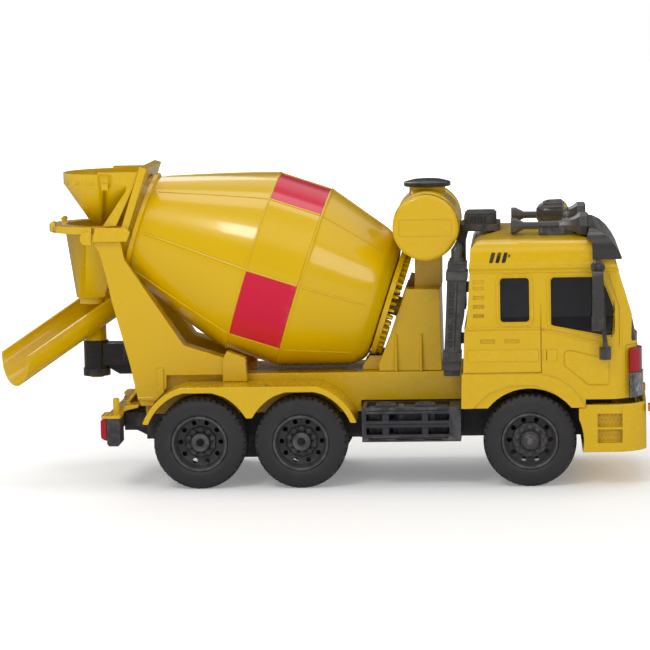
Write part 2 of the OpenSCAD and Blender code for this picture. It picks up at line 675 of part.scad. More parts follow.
module front_bumper() color(yellow) difference() {
  union() {
    difference() {
      translate([0,0,20.5]) linear_extrude(30.9) bumper_plan(0);
      translate([0,0,22.2]) linear_extrude(40) bumper_plan(2);
      box(100,152,-50,50,10,60);
      both_sides() prism_y([[140,48.4],[175.2,48.4],[175.2,60],[140,60]],-70,-40);
      both_sides() box(174.8,220,-70,5,48.5,60);
    }
    // tread boxes
    both_sides() difference() {
      box(158,175.2,-cab_y+0.6,-cab_y+8,25.2,48.4);
      for(z=[25.9,35.1]) box(160.8,176,-70,-cab_y+4.4,z,z+7.9);
    }
    both_sides() box(151,175,-cab_y+0.1,-cab_y+1.9,46.5,48.4);
    // closed back of the lower grille
    box(184.6,186,-26.9,26.9,26.3,43.2);
    both_sides() box(184.6,188.8,-26.9,-25.6,26.3,43.2);
  }
  both_sides() {
    rod_y(front_x,axle_z,arch_r,-75,-20,96);
    for(z=[25.9,35.1]) box(160.8,175.1,-70,-cab_y+4.2,z,z+7.9);
  }
  box(120,172,-27.3,27.3,30,52);
  box(140,154.1,-70,70,46.6,60);
  for(z=[30,38]) pad_x(0,z,50,4,1.2,186,200);
  both_sides() {
    pad_x(-46,34,14,7,2,189.4,200);
    pad_x(-44,44.5,10.3,4.3,1,188.4,200);
    rod_z(176,-30,1.5,15,30,20);
  }
}
module windshield() color(tinted) intersection() {
  cab_skin(0.35,wall,48,40);
  windshield_zone(0);
}
module side_windows() color(tinted) both_sides() intersection() {
  cab_skin(0.7,wall,48,40);
  window_zone(0);
}
// Front outline of the visor, starting at height z0
function visor_front(inset,z0) = let(y=cab_y+0.6-inset, half=concat([[-y,z0],[-y,136]],
  oval(-cab_y+12,139,12.6-inset,11.6-inset,180,99,9)))
  concat(half,[[0,152.6-inset]],flip(half));
module sun_visor() color(grey) difference() {
  intersection() {
    prism_y([[155.6,145.4],[157.2,150.8],[161,150.2],[165.8,147.4],[169.8,143.6],
      [173.2,138.8],[175.4,134.6],[175.8,133.6],[175,133],[158.8,133.1],[158.6,142.4]],
      -cab_y-0.6,cab_y+0.6);
    prism_x(visor_front(0,120),140,200);
  }
  cab_solid(-0.12,40);
  both_sides() rod_x(-40,151.6,7.9,100,157.3,48);
  intersection() {
    prism_y([[150,120],[150,131],[159.4,146.4],[163.6,145.2],[168.2,141],[171.4,136.8],
      [173.8,132],[175,125]],-cab_y+1.4,cab_y-1.4);
    prism_x(visor_front(2,110),140,200);
  }
}
module horn() {
  revolve([[0,112.6],[3.4,112.6],[3.4,114.4],[4.6,114.8],[4.6,111.8],[0,111.8]],8);
  revolve([[0,111.9],[4.7,111.9],[4.7,114.6],[2.2,119.5],[2.1,129],[2.6,129.4],[2.6,139.6],
    [2.9,140],[3.4,144],[5.2,149],[7.6,152],[7.6,156],[6.2,157],[5.6,157],[5.4,153.2],
    [1.6,145],[0,144]],8);
}
module roof_horns() color(grey) both_sides() difference() {
  translate([0,-40,0]) union() {
    translate([0,0,151.6]) horn();
    pad_z(136,0.4,16,7,2,140,150.5);
    box(142,148,-2,2,146,149.6);
  }
  cab_solid(-0.08,40);
}
module spotlight() color(grey) difference() {
  union() {
    translate([0,0,spot_z]) revolve([[0,126.8],[3,127],[5.6,128.6],[7.2,131.4],[8,135.4],
      [8.2,141.6],[8.2,142.4],[6.9,142.4],[6.9,136],[5.8,132.6],[0,129]],64);
    for(a=[-60:20:60]) translate([0,0,spot_z]) rotate([a,0,0])
      prism_y([[131.6,7.1],[134.6,7.9],[142,8.2],[142,8.7],[134,8.4],[131,7.5]],-0.35,0.35);
    prism_y([[130.6,149.6],[128.6,147.6],[128.6,146.6],[145,146.6],[145,147.2],[142.2,147.3],
      [141.5,149],[141,151],[131.6,151]],-5.5,5.5);
    pad_z(137,0,18,13,2,140,148.6);
  }
  translate([0,0,spot_z]) revolve([[0,129.2],[5.5,132.7],[6.8,136],[6.8,150],[0,150]],64);
  rod_x(0,spot_z,8.05,142.42,150,64);
  cab_solid(-0.08,40);
}
module spotlight_lens() color(clear) translate([0,0,spot_z])
  revolve([[0,146.6],[3,146.2],[6,144.8],[7.9,142.5],[6.7,142.5],[6.7,141],[0,141.6]],64);
module air_intake() color(grey) difference() {
  union() {
    pad_z(93.8,0,18.8,36,3,150,156.4);
    pad_z(93.8,0,16.8,34,3,156.3,157.3);
    pad_z(94,0,23,40,3,147,151);
    prism_y([[79.4,150.9],[79.4,120],[81,100],[84.6,100],[84.6,139],[86.6,146.8],[90,147.2],
      [90,150.9]],-13,13);
    for(i=[0:6]) box(84.1,84.5,-14+i*4.5,-12.6+i*4.5,151.6,155.6);
  }
  cab_solid(-0.08,40);
  tank_room(60);
  for(i=[0:4]) pad_y(89+i*1.9,153.6,0.9,3.6,0.4,-19,-17.4);
}
module exhaust_stack() color(grey) difference() {
  union() {
    prism_y([[71.8,69],[73.5,100],[75,131.4],[76,132.4],[85.4,132.4],[86.2,131.4],[85.8,120],
      [84,99],[82.4,92],[81.4,69]],-56,-38);
    // bands
    prism_y([[73.8,121.6],[74,126.6],[86.6,126.6],[86.4,121.6]],-56.9,-37.2);
    prism_y([[71.2,74],[71.5,79],[82.3,79],[82.1,74]],-56.9,-37.2);
    // pipe with a slanted end
    translate([pipe_at[0],pipe_at[1],132.3]) cylinder(r=4.2,h=2,$fn=40);
    translate([pipe_at[0],pipe_at[1],132.3]) cylinder(r=3.2,h=8,$fn=40);
    translate([pipe_at[0],pipe_at[1],140.2]) intersection() {
      cylinder(r=3.2,h=9,$fn=40);
      rotate([0,32,0]) translate([-10,-10,-12]) cube([20,20,15]);
    }
    box(71.8,81.2,-53,-40,65.2,69.1);
    prism_y([[80,84],[83.7,84],[83.95,90],[80.5,90]],-50,-44);
    prism_y([[83.5,114],[86.8,114],[87.2,120],[83.9,120]],-50,-44);
  }
  for(i=[0:7]) pad_y(75.7+i*0.27,84.6+i*4.75,2.8,3.5,0.5,-58,-55.3);
  prism_y([[78,80.6],[80.3,120.2],[81,120.2],[78.7,80.6]],-58,-55.5);
  prism_y([[77.6,128],[77.8,131.2],[84.6,131.2],[84.6,128]],-58,-55.6);
  translate([pipe_at[0],pipe_at[1],139]) cylinder(r=2.4,h=20,$fn=40);
  tank_room(70);
}
module mirror_body() {
  rod_y(161.6,128.7,4.1,-63,-59.2,40);
  rod_z(165.4,-62.2,3.4,75.4,82.6,40);
  rod_z(165.4,-64.4,1.4,82,86,24);
  prism_y([[161,129.6],[162.8,130.4],[164.6,127],[165.2,112],[166,95],[166.6,84],[164.2,84],
    [163.2,95],[162.4,112],[161.6,124.6]],-65.4,-62.8);
  pad_x(-66.4,110,7.4,34,3,158.2,164.4);
  pad_x(-66.4,97,7.8,9,3,157.6,164.8);
  box(160.8,164,-64,-62.4,104,118);
}
module side_mirrors() color(grey) both_sides() union() {
  difference() {
    mirror_body();
    cab_solid(-0.95,40);
  }
  mirror_pegs(0);
}

// ---------------------------------------------------------------- fasteners
module body_screws() color([0.7,0.7,0.72])
  for(p=screw_at) translate([p[0],p[1],14.5]) difference() {
    cylinder(r=2.6,h=1.1,$fn=32);
    translate([-2,-0.35,-1]) cube([4,0.7,1.6]);
    translate([-0.35,-2,-1]) cube([0.7,4,1.6]);
  }

// ---------------------------------------------------------------- running gear
// Right-hand knuckle with its kingpin, stub axle and steering arm
module knuckle() color(black) union() {
  box(front_x-3.5,front_x+3.5,-kingpin_y-3.5,-kingpin_y+3.5,19.3,35.1);
  rod_z(front_x,-kingpin_y,1.5,15.8,38.6,32);
  rod_y(front_x,axle_z,axle_r,-57.8,-kingpin_y,40);
  rod_y(front_x,axle_z,3.6,-kingpin_y-7.1,-kingpin_y,40);
  translate([0,0,23.9]) linear_extrude(1.9) polygon([[front_x-3,-kingpin_y+3],
    [steer_x-2.6,pin_y-2],[steer_x-2.6,pin_y+2.4],[steer_x+2.4,pin_y+2.4],
    [front_x+2,-kingpin_y+3.4]]);
  rod_z(steer_x,pin_y,1.3,20.2,24.5,32);
}
module knuckle_right() knuckle();
module knuckle_left() mirror([0,1,0]) knuckle();
module tie_rod() color(black) difference() {
  union() {
    pad_z(steer_x,0,7,62,2,20.6,23.6);
    both_sides() pad_z(steer_x+0.34,pin_y,12,6.4,2,20.6,23.6);
    box(steer_x-1.5,steer_x+1.5,-1.5,1.5,23.5,27.9);
  }
  both_sides() pad_z(steer_x+0.34,pin_y,9.6,3.8,1.3,19,25);
}
// [radius, offset] section of a tyre of width w, with two grooves in the tread
module tyre_profile(w) {
  half = [[rim_r,w/2-1.2],[rim_r+0.6,w/2-0.4],[rim_r+2,w/2],[rim_r+4.4,w/2],
    [tyre_r-3.4,w/2-1],[tyre_r-1.2,w/2-2.4],[tyre_r,w/2-4.4],[tyre_r,3.1],[tyre_r-1,2.8],
    [tyre_r-1,1.8],[tyre_r,1.5]];
  polygon(concat(half,flip(half,1,-1)));
}
module tyre(x,y,w) translate([x,y,axle_z]) rotate([90,0,0]) difference() {
  rotate_extrude($fn=96) tyre_profile(w);
  for(k=[0:notches-1],s=[-1,1]) rotate([0,0,k*360/notches])
    translate([tyre_r,0,s*(w/2-2.6)]) cube([2.6,0.9,6],center=true);
}
module rear_tyres(x) color(rubber) for(s=[-1,1]) tyre(x,s*rear_y,rear_tyre_w);
module rear_tyres_a() rear_tyres(axle_a);
module rear_tyres_b() rear_tyres(axle_b);
module front_tyre() tyre(front_x,-front_y,front_tyre_w);
module front_tyre_right() color(rubber) front_tyre();
module front_tyre_left() color(rubber) mirror([0,1,0]) front_tyre();
// Right-hand rims, local +z facing outwards; sections are [radius, offset]
module rear_rim(x) translate([x,-rear_y,axle_z]) rotate([90,0,0]) difference() {
  union() {
    rotate_extrude($fn=56) polygon([[5.2,0.6],[5.2,2],[8.2,3.6],[9.4,2.2],[13.6,3.2],
      [14.4,7.4],[14.6,11.2],[15.2,11.9],[16.1,11.9],[16.45,11.3],[16.45,-11.2],[16,-11.8],
      [15.2,-11.8],[14.8,-11],[14.2,1.9],[12.9,1.4],[9.2,0.4],[8,1.6]]);
    rotate_extrude($fn=48) polygon([[axle_r+0.01,-7],[5,-7],[5.5,0.4],[5.5,6.6],[5,7.1],
      [2.5,7.1],[2.4,6],[axle_r+0.01,5.6]]);
    for(k=[0:9]) rotate([0,0,k*36+18]) translate([7.4,0,2.4]) cylinder(r=1.5,h=1.5,$fn=14);
  }
  for(k=[0:9]) rotate([0,0,k*36]) translate([11.9,0,-2]) cylinder(r=1.5,h=9,$fn=16);
  cylinder(r=axle_r+0.01,h=80,center=true,$fn=48);
}
module rear_rims(x) color(rim_grey) both_sides() rear_rim(x);
module rear_rims_a() rear_rims(axle_a);
module rear_rims_b() rear_rims(axle_b);
module front_rim() color(rim_grey) translate([front_x,-front_y,axle_z]) rotate([90,0,0]) {
  bore_r = axle_r+fit;
  difference() {
    union() {
      rotate_extrude($fn=72) polygon([[bore_r,4.3],[5.2,4.3],[5.6,4.9],[10,5.3],[10.6,3.5],
        [13.6,3.1],[14.4,5.5],[14.7,9],[15.3,9.9],[16.2,9.9],[16.45,9.3],[16.45,-9.2],
        [16,-9.8],[15.5,-9.8],[15.2,-9],[15,1.9],[13.9,1.3],[10,1.9],[9.4,3.7],[bore_r,3.4]]);
      rotate_extrude($fn=64)
        polygon([[bore_r,3.6],[5.4,3.6],[5.4,7.2],[5,8],[bore_r,8.6]]);
      rotate_extrude($fn=64) polygon([[0,10.3],[axle_r+0.3,10.3],[axle_r+0.3,8.2],[4.6,8.2],
        [4.4,9.6],[3.4,10.4],[2.2,10.6],[2,11.2],[0,11.4]]);
      for(k=[0:9]) rotate([0,0,k*36+18]) translate([7.9,0,4.7])
        cylinder(r=1.35,h=1.6,$fn=20);
    }
    for(k=[0:9]) rotate([0,0,k*36]) translate([12.1,0,-3]) cylinder(r=1.5,h=9,$fn=24);
    translate([0,0,-20]) cylinder(r=bore_r,h=30,$fn=48);
  }
}
module front_rim_right() front_rim();
module front_rim_left() mirror([0,1,0]) front_rim();
module rear_shaft(x) rod_y(x,axle_z,axle_r,-50.2,50.2,48);
module rear_shaft_a() color([0.75,0.76,0.78]) union() {
  rear_shaft(axle_a);
  // toothed wheel inside the gearbox
  translate([axle_a,-4,axle_z]) rotate([90,0,0]) linear_extrude(5)
    polygon([for(i=[0:71]) let(a=i*5, r=(i%4<2)?6.6:5.5) [r*cos(a),r*sin(a)]]);
}
module rear_shaft_b() color([0.75,0.76,0.78]) rear_shaft(axle_b);

// ---------------------------------------------------------------- drum
front_r = drum_r-0.3;      // front edge of the middle band
neck_r = 31.6;             // rear end of the cone
// Radius at a share of the way from the neck to the full drum
function cone_r(share) = drum_r*share+neck_r*(1-share);
// Rear shell sections, [radius, station]
rear_outer = [[30.6,-78],[30.6,-71.4],[33.4,-71.2],[33.4,-68.6],[neck_r,-68.2],
  [cone_r(0.4)+0.5,-40.8],[cone_r(0.72)+0.5,-19],[drum_r,0]];
rear_inner = [[drum_r-drum_t,0.2],[cone_r(0.72)+0.4-drum_t,-18.6],
  [cone_r(0.4)+0.4-drum_t,-40.4],[neck_r-drum_t,-67.6],[30.6-drum_t,-78]];
rib_angles = [0,41,90,138,180,222,270,319];
// Ribs along [station, radius] points: sunk below the shell, standing proud of it
module ribs(line) for(a=rib_angles) rotate([a,0,0])
  prism_y(concat([for(p=line) [p[0],p[1]-0.7]],
    [for(i=[len(line)-1:-1:0]) [line[i][0],line[i][1]+rib_h-0.13]]),-0.45,0.45);
module drum_rear_shell() color(yellow) on_drum() union() {
  revolve(concat(rear_outer,[[drum_r+rib_h,0.2],[drum_r+rib_h,1],[drum_r,1.3],
    [front_r,32.4],[front_r-drum_t,32.4]],rear_inner));
  ribs([[-66,31.9],[-40.8,cone_r(0.4)+0.5],[-19,cone_r(0.72)+0.5],[0.6,drum_r],
    [32,front_r]]);
}
module drum_front_shell() color(yellow) on_drum() union() {
  // outer face, journal, then the inner face back to the joint
  revolve([[front_r-drum_t-0.05,31],[front_r-drum_t-0.05,32.5],[front_r+rib_h,32.5],
    [front_r+rib_h,33.5],[front_r,33.9],[49.4,52],[42.4,73],[38.6,79],[34.2,82.6],[28,83.8],
    [24,83.8],[24,86.9],[10,86.9],[6,88.4],[6,97.6],[5.4,98.4],[0,98.4],[0,96.4],[4.2,96.4],
    [4.2,87],[9,85],[22.2,85],[22.2,82.1],[28,82.1],[33.2,81],[37.2,77.8],[41,72.2],
    [47.9,51.6],[front_r-drum_t,33.6],[front_r-drum_t-1.4,33],[front_r-drum_t-1.4,31]]);
  ribs([[33.2,front_r],[52,49.4],[72,42.7]]);
}
module drum_ring_gear() color(yellow) on_drum() difference() {
  union() {
    revolve([[24.1,83.95],[33.4,83.95],[33.4,87],[24.1,87]]);
    for(k=[0:gear_teeth-1]) rotate([k*360/gear_teeth,0,0]) translate([0,0,-gear_r-2.2])
      linear_extrude(4.6) polygon([[86.9,-1.0],[90.5,-0.5],[90.5,0.5],[86.9,1.0]]);
  }
  for(a=[0:60:300]) rotate([a,0,0]) rod_x(0,26,0.9,80,90,16);
}
// Blade edge radius at a drum station
function blade_r(s) = s<-67.6 ? 29.7
  : s<0 ? (neck_r+(drum_r+0.5-neck_r)*pow((s+68)/68,0.93))-drum_t-0.5
  : s<33 ? front_r-drum_t-1.9
  : front_r-drum_t-0.8-(s-33)*0.335;
// Two helical blades, swept as four-cornered sections
module drum_blades() color(yellow) on_drum() for(start=[0,180]) {
  steps = 44;
  span = 124;              // length along the axis
  twist = 560;             // degrees over the span
  depth = 8;
  half_t = 0.6;
  points = [for(i=[0:steps])
    let(s=-60+i*(span/steps), a=start+i*(twist/steps),
      outer=min(blade_r(s),blade_r(s+1.2),blade_r(s-1.2))-0.3, inner=outer-depth)
    each [[s-half_t, outer*sin(a), outer*cos(a)], [s+half_t, outer*sin(a), outer*cos(a)],
      [s+half_t, inner*sin(a), inner*cos(a)], [s-half_t, inner*sin(a), inner*cos(a)]]];
  last = 4*steps;
  faces = concat([[3,2,1,0]],[[last,last+1,last+2,last+3]],
    [for(i=[0:steps-1],j=[0:3]) each [[4*i+j,4*i+(j+1)%4,4*i+4+(j+1)%4],
      [4*i+j,4*i+4+(j+1)%4,4*i+4+j]]]);
  polyhedron(points=points, faces=faces, convexity=10);
}
module drive_pinion() color([0.9,0.9,0.88]) on_drum() translate([pinion_s,0,0]) {
  root = 6.2;
  tip = 8.5;
  translate([0,0,-32.2]) linear_extrude(4.2) polygon([for(k=[0:pinion_teeth-1])
    let(a=k*360/pinion_teeth+180+180/pinion_teeth) each
    [[root*cos(a-9),root*sin(a-9)],[tip*cos(a-3.4),tip*sin(a-3.4)],
     [tip*cos(a+3.4),tip*sin(a+3.4)],[root*cos(a+9),root*sin(a+9)]]]);
  translate([0,0,-56]) cylinder(r=1.5,h=25,$fn=32);
}
module roller(side) color(black) on_drum() union() {
  rod_x(side*roller_y,roller_z,2.7,83.8,88.2,40);
  rod_x(side*roller_y,roller_z,0.9,82.9,90.6,24);
}
module roller_left() roller(1);
module roller_right() roller(-1);
module power_switch() color([0.1,0.1,0.1]) union() {
  box(-101,-97,-3,3,24.6,27.9);
  box(-102.9,-95.1,-5,5,28.1,29.4);
  box(-101,-97,-2.9,2.9,27.8,28.2);
  for(i=[0:2]) box(-100.6+i*1.3,-100.1+i*1.3,-3,3,24.2,24.7);
}

chassis_frame();
battery_cover();
battery_cells();
control_board();
drive_gearbox();
steering_servo();
deck_frame();
fender_left();
fender_right();
drum_tower();
drum_motor();
water_tank();
tank_cap();
pillar_left();
pillar_right();
support_arch();
hopper();
discharge_box();
chute_bracket();
chute();
rear_bumper();
bumper_steps();
tail_lamps();
side_racks();
cab_shell();
front_fascia();
front_bumper();
windshield();
side_windows();
sun_visor();
roof_horns();
spotlight();
spotlight_lens();
air_intake();
exhaust_stack();
side_mirrors();
headlamp_lenses();
turn_lamps();
body_screws();
knuckle_left();
knuckle_right();
tie_rod();
front_tyre_left();
front_tyre_right();
front_rim_left();
front_rim_right();
rear_shaft_a();
rear_shaft_b();
rear_rims_a();
rear_rims_b();
rear_tyres_a();
rear_tyres_b();
drum_rear_shell();
drum_front_shell();
drum_ring_gear();
drum_blades();
drive_pinion();
roller_left();
roller_right();
power_switch();
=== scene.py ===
"""Model concrete mixer truck, built over its CAD pieces.

The truck stands on Z = 0 and faces +X, so its right side is -Y. The drum's axis slopes down
towards the cab. New shapes are drawn in millimetres; Blender itself works in metres.
"""
import bpy
import bmesh
import json
import math
from mathutils import Matrix, Vector


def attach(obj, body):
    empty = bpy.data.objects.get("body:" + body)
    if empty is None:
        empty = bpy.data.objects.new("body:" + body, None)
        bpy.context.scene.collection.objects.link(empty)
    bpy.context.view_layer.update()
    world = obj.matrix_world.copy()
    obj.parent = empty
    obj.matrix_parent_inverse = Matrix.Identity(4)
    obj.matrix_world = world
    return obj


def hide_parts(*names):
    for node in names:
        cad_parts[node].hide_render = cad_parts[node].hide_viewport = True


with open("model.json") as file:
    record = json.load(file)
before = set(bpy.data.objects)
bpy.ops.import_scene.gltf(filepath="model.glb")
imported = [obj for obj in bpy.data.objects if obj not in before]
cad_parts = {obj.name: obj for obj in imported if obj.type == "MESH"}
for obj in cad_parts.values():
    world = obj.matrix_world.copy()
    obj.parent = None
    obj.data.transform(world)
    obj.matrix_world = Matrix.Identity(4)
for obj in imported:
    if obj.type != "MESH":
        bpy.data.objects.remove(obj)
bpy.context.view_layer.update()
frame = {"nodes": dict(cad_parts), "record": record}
NODES = frame["nodes"]
SLOT = {part["node"]: part["material_slot"] for part in frame["record"]["subparts"]}
BODY = {member: body
        for body, members in frame["record"]["behaviour"]["bodies"].items()
        for member in members}
MM = 0.001
SIDES = ((-1, "right"), (1, "left"))  # sign of Y, name


# ---------------------------------------------------------------- materials
def linear(rgb):
    """Linear RGBA from sRGB values of 0 to 255."""
    shares = (value / 255 for value in rgb)
    return tuple(s / 12.92 if s <= 0.04045 else ((s + 0.055) / 1.055) ** 2.4
                 for s in shares) + (1.0,)


def scaled(colour, factor):
    return tuple(min(1.0, value * factor) for value in colour[:3]) + (1.0,)


def add_node(tree, kind, inputs=None, **settings):
    """A shader node. Each input gets a value, or the socket that feeds it."""
    made = tree.nodes.new(kind)
    for key, value in settings.items():
        setattr(made, key, value)
    feed(tree, made, inputs or {})
    return made


def feed(tree, target, inputs):
    for key, value in inputs.items():
        if isinstance(value, bpy.types.NodeSocket):
            tree.links.new(value, target.inputs[key])
        else:
            target.inputs[key].default_value = value


def surface(name, rgb, rough=0.3, spread=0.08, mottle=0.05, bump=0.12, grain=700.0, coat=0.0,
            edge_sheen_and_wear=0.35, edge_sheen_and_wear_rgb=None, metal=0.0, clear=0.0, ior=1.5, edge=0.0003, dust=0.0,
            aniso=0.0, stretch=(1, 1, 1)):
    """Plastic, rubber or metal with mottled colour, uneven sheen, fine grain, and ridges
    lightened as a painted edge highlight, partly also rubbed wear.

    spread is the swing of the roughness, mottle that of the colour, grain the scale of the
    fine bumps, clear the transmission and edge the radius of the shaded rounding in metres.
    """
    material = bpy.data.materials.new(name)
    material.use_nodes = True
    tree = material.node_tree
    base = linear(rgb)

    coords = add_node(tree, "ShaderNodeTexCoord").outputs["Object"]
    stretched = add_node(tree, "ShaderNodeMapping", {
        "Scale": stretch, "Vector": coords}).outputs["Vector"]
    blotches = add_node(tree, "ShaderNodeTexNoise", {
        "Scale": 26.0, "Detail": 3.0, "Vector": coords}).outputs["Fac"]
    patches = add_node(tree, "ShaderNodeTexNoise", {
        "Scale": 180.0, "Detail": 4.0, "Roughness": 0.6, "Vector": stretched}).outputs["Fac"]
    fine = add_node(tree, "ShaderNodeTexNoise", {
        "Scale": grain, "Detail": 2.0, "Vector": stretched}).outputs["Fac"]
    colour = add_node(tree, "ShaderNodeMix", {
        "A": scaled(base, 1 - mottle), "B": scaled(base, 1 + mottle),
        "Factor": blotches}, data_type="RGBA").outputs["Result"]

    # painted edge highlight, partly rubbed wear: the ridges of the mesh are lightened, broken
    # up by noise
    geometry = add_node(tree, "ShaderNodeNewGeometry")
    ridge = add_node(tree, "ShaderNodeMapRange", {
        "From Min": 0.515, "From Max": 0.60, "Value": geometry.outputs["Pointiness"]})
    broken = add_node(tree, "ShaderNodeMapRange", {
        "From Min": 0.42, "From Max": 0.62, "Value": patches})
    sheen_and_wear_ridges = add_node(tree, "ShaderNodeMath", {
        0: ridge.outputs["Result"], 1: broken.outputs["Result"]}, operation="MULTIPLY")
    sheen_and_wear_mix = add_node(tree, "ShaderNodeMath", {
        0: sheen_and_wear_ridges.outputs[0], 1: edge_sheen_and_wear}, operation="MULTIPLY").outputs[0]
    # default colour of the painted edge highlight and wear: paler than the base
    sheen_and_wear_tint = tuple(0.5 * v + 0.5 * min(1.0, v * 1.5 + 0.06) for v in base[:3]) + (1.0,)
    colour = add_node(tree, "ShaderNodeMix", {
        "A": colour, "B": linear(edge_sheen_and_wear_rgb) if edge_sheen_and_wear_rgb else sheen_and_wear_tint,
        "Factor": sheen_and_wear_mix}, data_type="RGBA").outputs["Result"]

    if dust > 0:  # on faces that look up
        normal = add_node(tree, "ShaderNodeSeparateXYZ", {0: geometry.outputs["Normal"]})
        upward = add_node(tree, "ShaderNodeMapRange", {
            "From Min": 0.3, "From Max": 1.0, "To Max": dust, "Value": normal.outputs["Z"]})
        dusty = add_node(tree, "ShaderNodeMath", {
            0: upward.outputs["Result"], 1: patches}, operation="MULTIPLY")
        colour = add_node(tree, "ShaderNodeMix", {
            "A": colour, "B": linear((150, 146, 138)),
            "Factor": dusty.outputs[0]}, data_type="RGBA").outputs["Result"]

    uneven = add_node(tree, "ShaderNodeMapRange", {
        "From Min": 0.3, "From Max": 0.7, "To Min": max(0.02, rough - spread),
        "To Max": min(1.0, rough + spread), "Value": patches})
    # the lightened ridges (painted highlight, partly wear) are rougher by up to a quarter
    roughness = add_node(tree, "ShaderNodeMath", {
        0: sheen_and_wear_mix, 1: 0.25, 2: uneven.outputs["Result"]}, operation="MULTIPLY_ADD")

    rounded = geometry
    if edge > 0:
        rounded = add_node(tree, "ShaderNodeBevel", {"Radius": edge}, samples=4)
    grained = add_node(tree, "ShaderNodeBump", {
        "Strength": bump, "Distance": 0.0001, "Height": fine,
        "Normal": rounded.outputs["Normal"]})
    wavy = add_node(tree, "ShaderNodeBump", {
        "Strength": 0.03, "Distance": 0.0006, "Height": blotches,
        "Normal": grained.outputs["Normal"]})
    feed(tree, tree.nodes["Principled BSDF"], {
        "Base Color": colour, "Roughness": roughness.outputs[0], "Metallic": metal, "IOR": ior,
        "Coat Weight": coat, "Coat Roughness": 0.06, "Transmission Weight": clear,
        "Anisotropic": aniso, "Normal": wavy.outputs["Normal"]})
    return material


# lighter yellow on the ridges: a painted edge highlight, partly rubbed wear
YELLOW_SHEEN_AND_WEAR = (232, 188, 30)
M = {
    "yellow": surface("yellow_plastic", (214, 173, 0), rough=0.24, spread=0.05, mottle=0.02,
                      bump=0.05, coat=0.5, edge_sheen_and_wear=0.22, edge_sheen_and_wear_rgb=YELLOW_SHEEN_AND_WEAR),
    "drum": surface("drum_plastic", (216, 175, 0), rough=0.2, spread=0.05, mottle=0.03,
                    bump=0.05, coat=0.6, edge_sheen_and_wear=0.25, edge_sheen_and_wear_rgb=YELLOW_SHEEN_AND_WEAR),
    "red": surface("red_panel", (206, 8, 54), rough=0.2, spread=0.05, bump=0.06, coat=0.5,
                   edge_sheen_and_wear=0.3, edge_sheen_and_wear_rgb=(225, 90, 90)),
    "black": surface("chassis_plastic", (54, 52, 56), rough=0.5, spread=0.1, mottle=0.1,
                     bump=0.35, grain=1400, edge_sheen_and_wear=0.5, edge_sheen_and_wear_rgb=(110, 108, 110), dust=0.12),
    "cap": surface("cap_plastic", (34, 33, 35), rough=0.26, spread=0.07, mottle=0.1,
                   coat=0.25, edge_sheen_and_wear=0.5, edge_sheen_and_wear_rgb=(90, 88, 88)),
    "grey": surface("trim_plastic", (62, 60, 58), spread=0.06, mottle=0.06, coat=0.2,
                    edge_sheen_and_wear=0.3, edge_sheen_and_wear_rgb=(128, 124, 118)),
    "visor": surface("visor_plastic", (58, 56, 54), rough=0.28, spread=0.04, bump=0.1,
                     coat=0.25, edge_sheen_and_wear=0.0, edge=0.0),
    "rim": surface("rim_plastic", (70, 68, 70), rough=0.4, mottle=0.08, bump=0.2, edge_sheen_and_wear=0.55,
                   edge_sheen_and_wear_rgb=(130, 128, 128)),
    "tyre": surface("tyre_rubber", (48, 47, 50), rough=0.72, spread=0.1, mottle=0.14,
                    bump=0.5, grain=1700, edge_sheen_and_wear=0.5, edge_sheen_and_wear_rgb=(100, 98, 98), dust=0.2),
    "window": surface("window_tint", (24, 22, 26), rough=0.09, spread=0.03, mottle=0.15,
                      bump=0.03, coat=0.8, edge_sheen_and_wear=0.15),
    "clear": surface("lens_clear", (236, 238, 242), rough=0.06, spread=0.03, mottle=0.02,
                     bump=0.05, clear=0.94, ior=1.49, edge_sheen_and_wear=0.1),
    "lamp_red": surface("lens_red", (190, 4, 30), rough=0.12, spread=0.04, mottle=0.06,
                        bump=0.08, clear=0.35, coat=0.5, edge_sheen_and_wear=0.2, edge_sheen_and_wear_rgb=(230, 110, 110)),
    "amber": surface("lens_amber", (236, 112, 18), rough=0.14, spread=0.04, mottle=0.06,
                     bump=0.08, clear=0.3, coat=0.4, edge_sheen_and_wear=0.2, edge_sheen_and_wear_rgb=(245, 180, 110)),
    "chrome": surface("reflector", (222, 224, 228), rough=0.12, spread=0.05, mottle=0.03,
                      bump=0.1, metal=1.0, edge_sheen_and_wear=0.1),
    # steel coloured dark as painted shade, used for the rear axles in their recessed holes
    "steel_painted_shade": surface("dark_steel_painted_shade", (58, 57, 58), rough=0.38, spread=0.1, mottle=0.1,
                        bump=0.2, metal=0.8, edge_sheen_and_wear=0.4, edge_sheen_and_wear_rgb=(140, 140, 142)),
    "steel": surface("plated_steel", (176, 178, 182), rough=0.32, spread=0.1, mottle=0.06,
                     bump=0.2, metal=1.0, edge_sheen_and_wear=0.3, aniso=0.5, stretch=(1, 8, 1)),
    "cells": surface("cell_sleeve", (44, 108, 74), spread=0.06, mottle=0.12, bump=0.1,
                     coat=0.4, edge_sheen_and_wear=0.3),
    "pcb": surface("solder_mask", (16, 88, 44), rough=0.36, mottle=0.18, bump=0.3,
                   grain=2400, edge_sheen_and_wear=0.4, edge_sheen_and_wear_rgb=(190, 160, 80)),
    "nylon": surface("nylon", (224, 222, 212), rough=0.45, mottle=0.04, bump=0.2, edge_sheen_and_wear=0.2),
    "decal": surface("printed_bars", (44, 40, 34), rough=0.34, mottle=0.2, edge_sheen_and_wear=0.4,
                     edge_sheen_and_wear_rgb=(120, 104, 50)),
}
SLOT_MATERIAL = {
    "cab_yellow": "yellow", "drum_yellow": "drum", "chassis_black": "black",
    "cap_black": "cap", "trim_grey": "grey", "rim_grey": "rim", "tyre_rubber": "tyre",
    "window_dark": "window", "lens_clear": "clear", "lamp_red": "lamp_red",
    "cell_green": "cells", "pcb_green": "pcb", "nylon_white": "nylon", "servo_black": "cap",
    "motor_steel": "steel", "screw_steel": "steel",
}


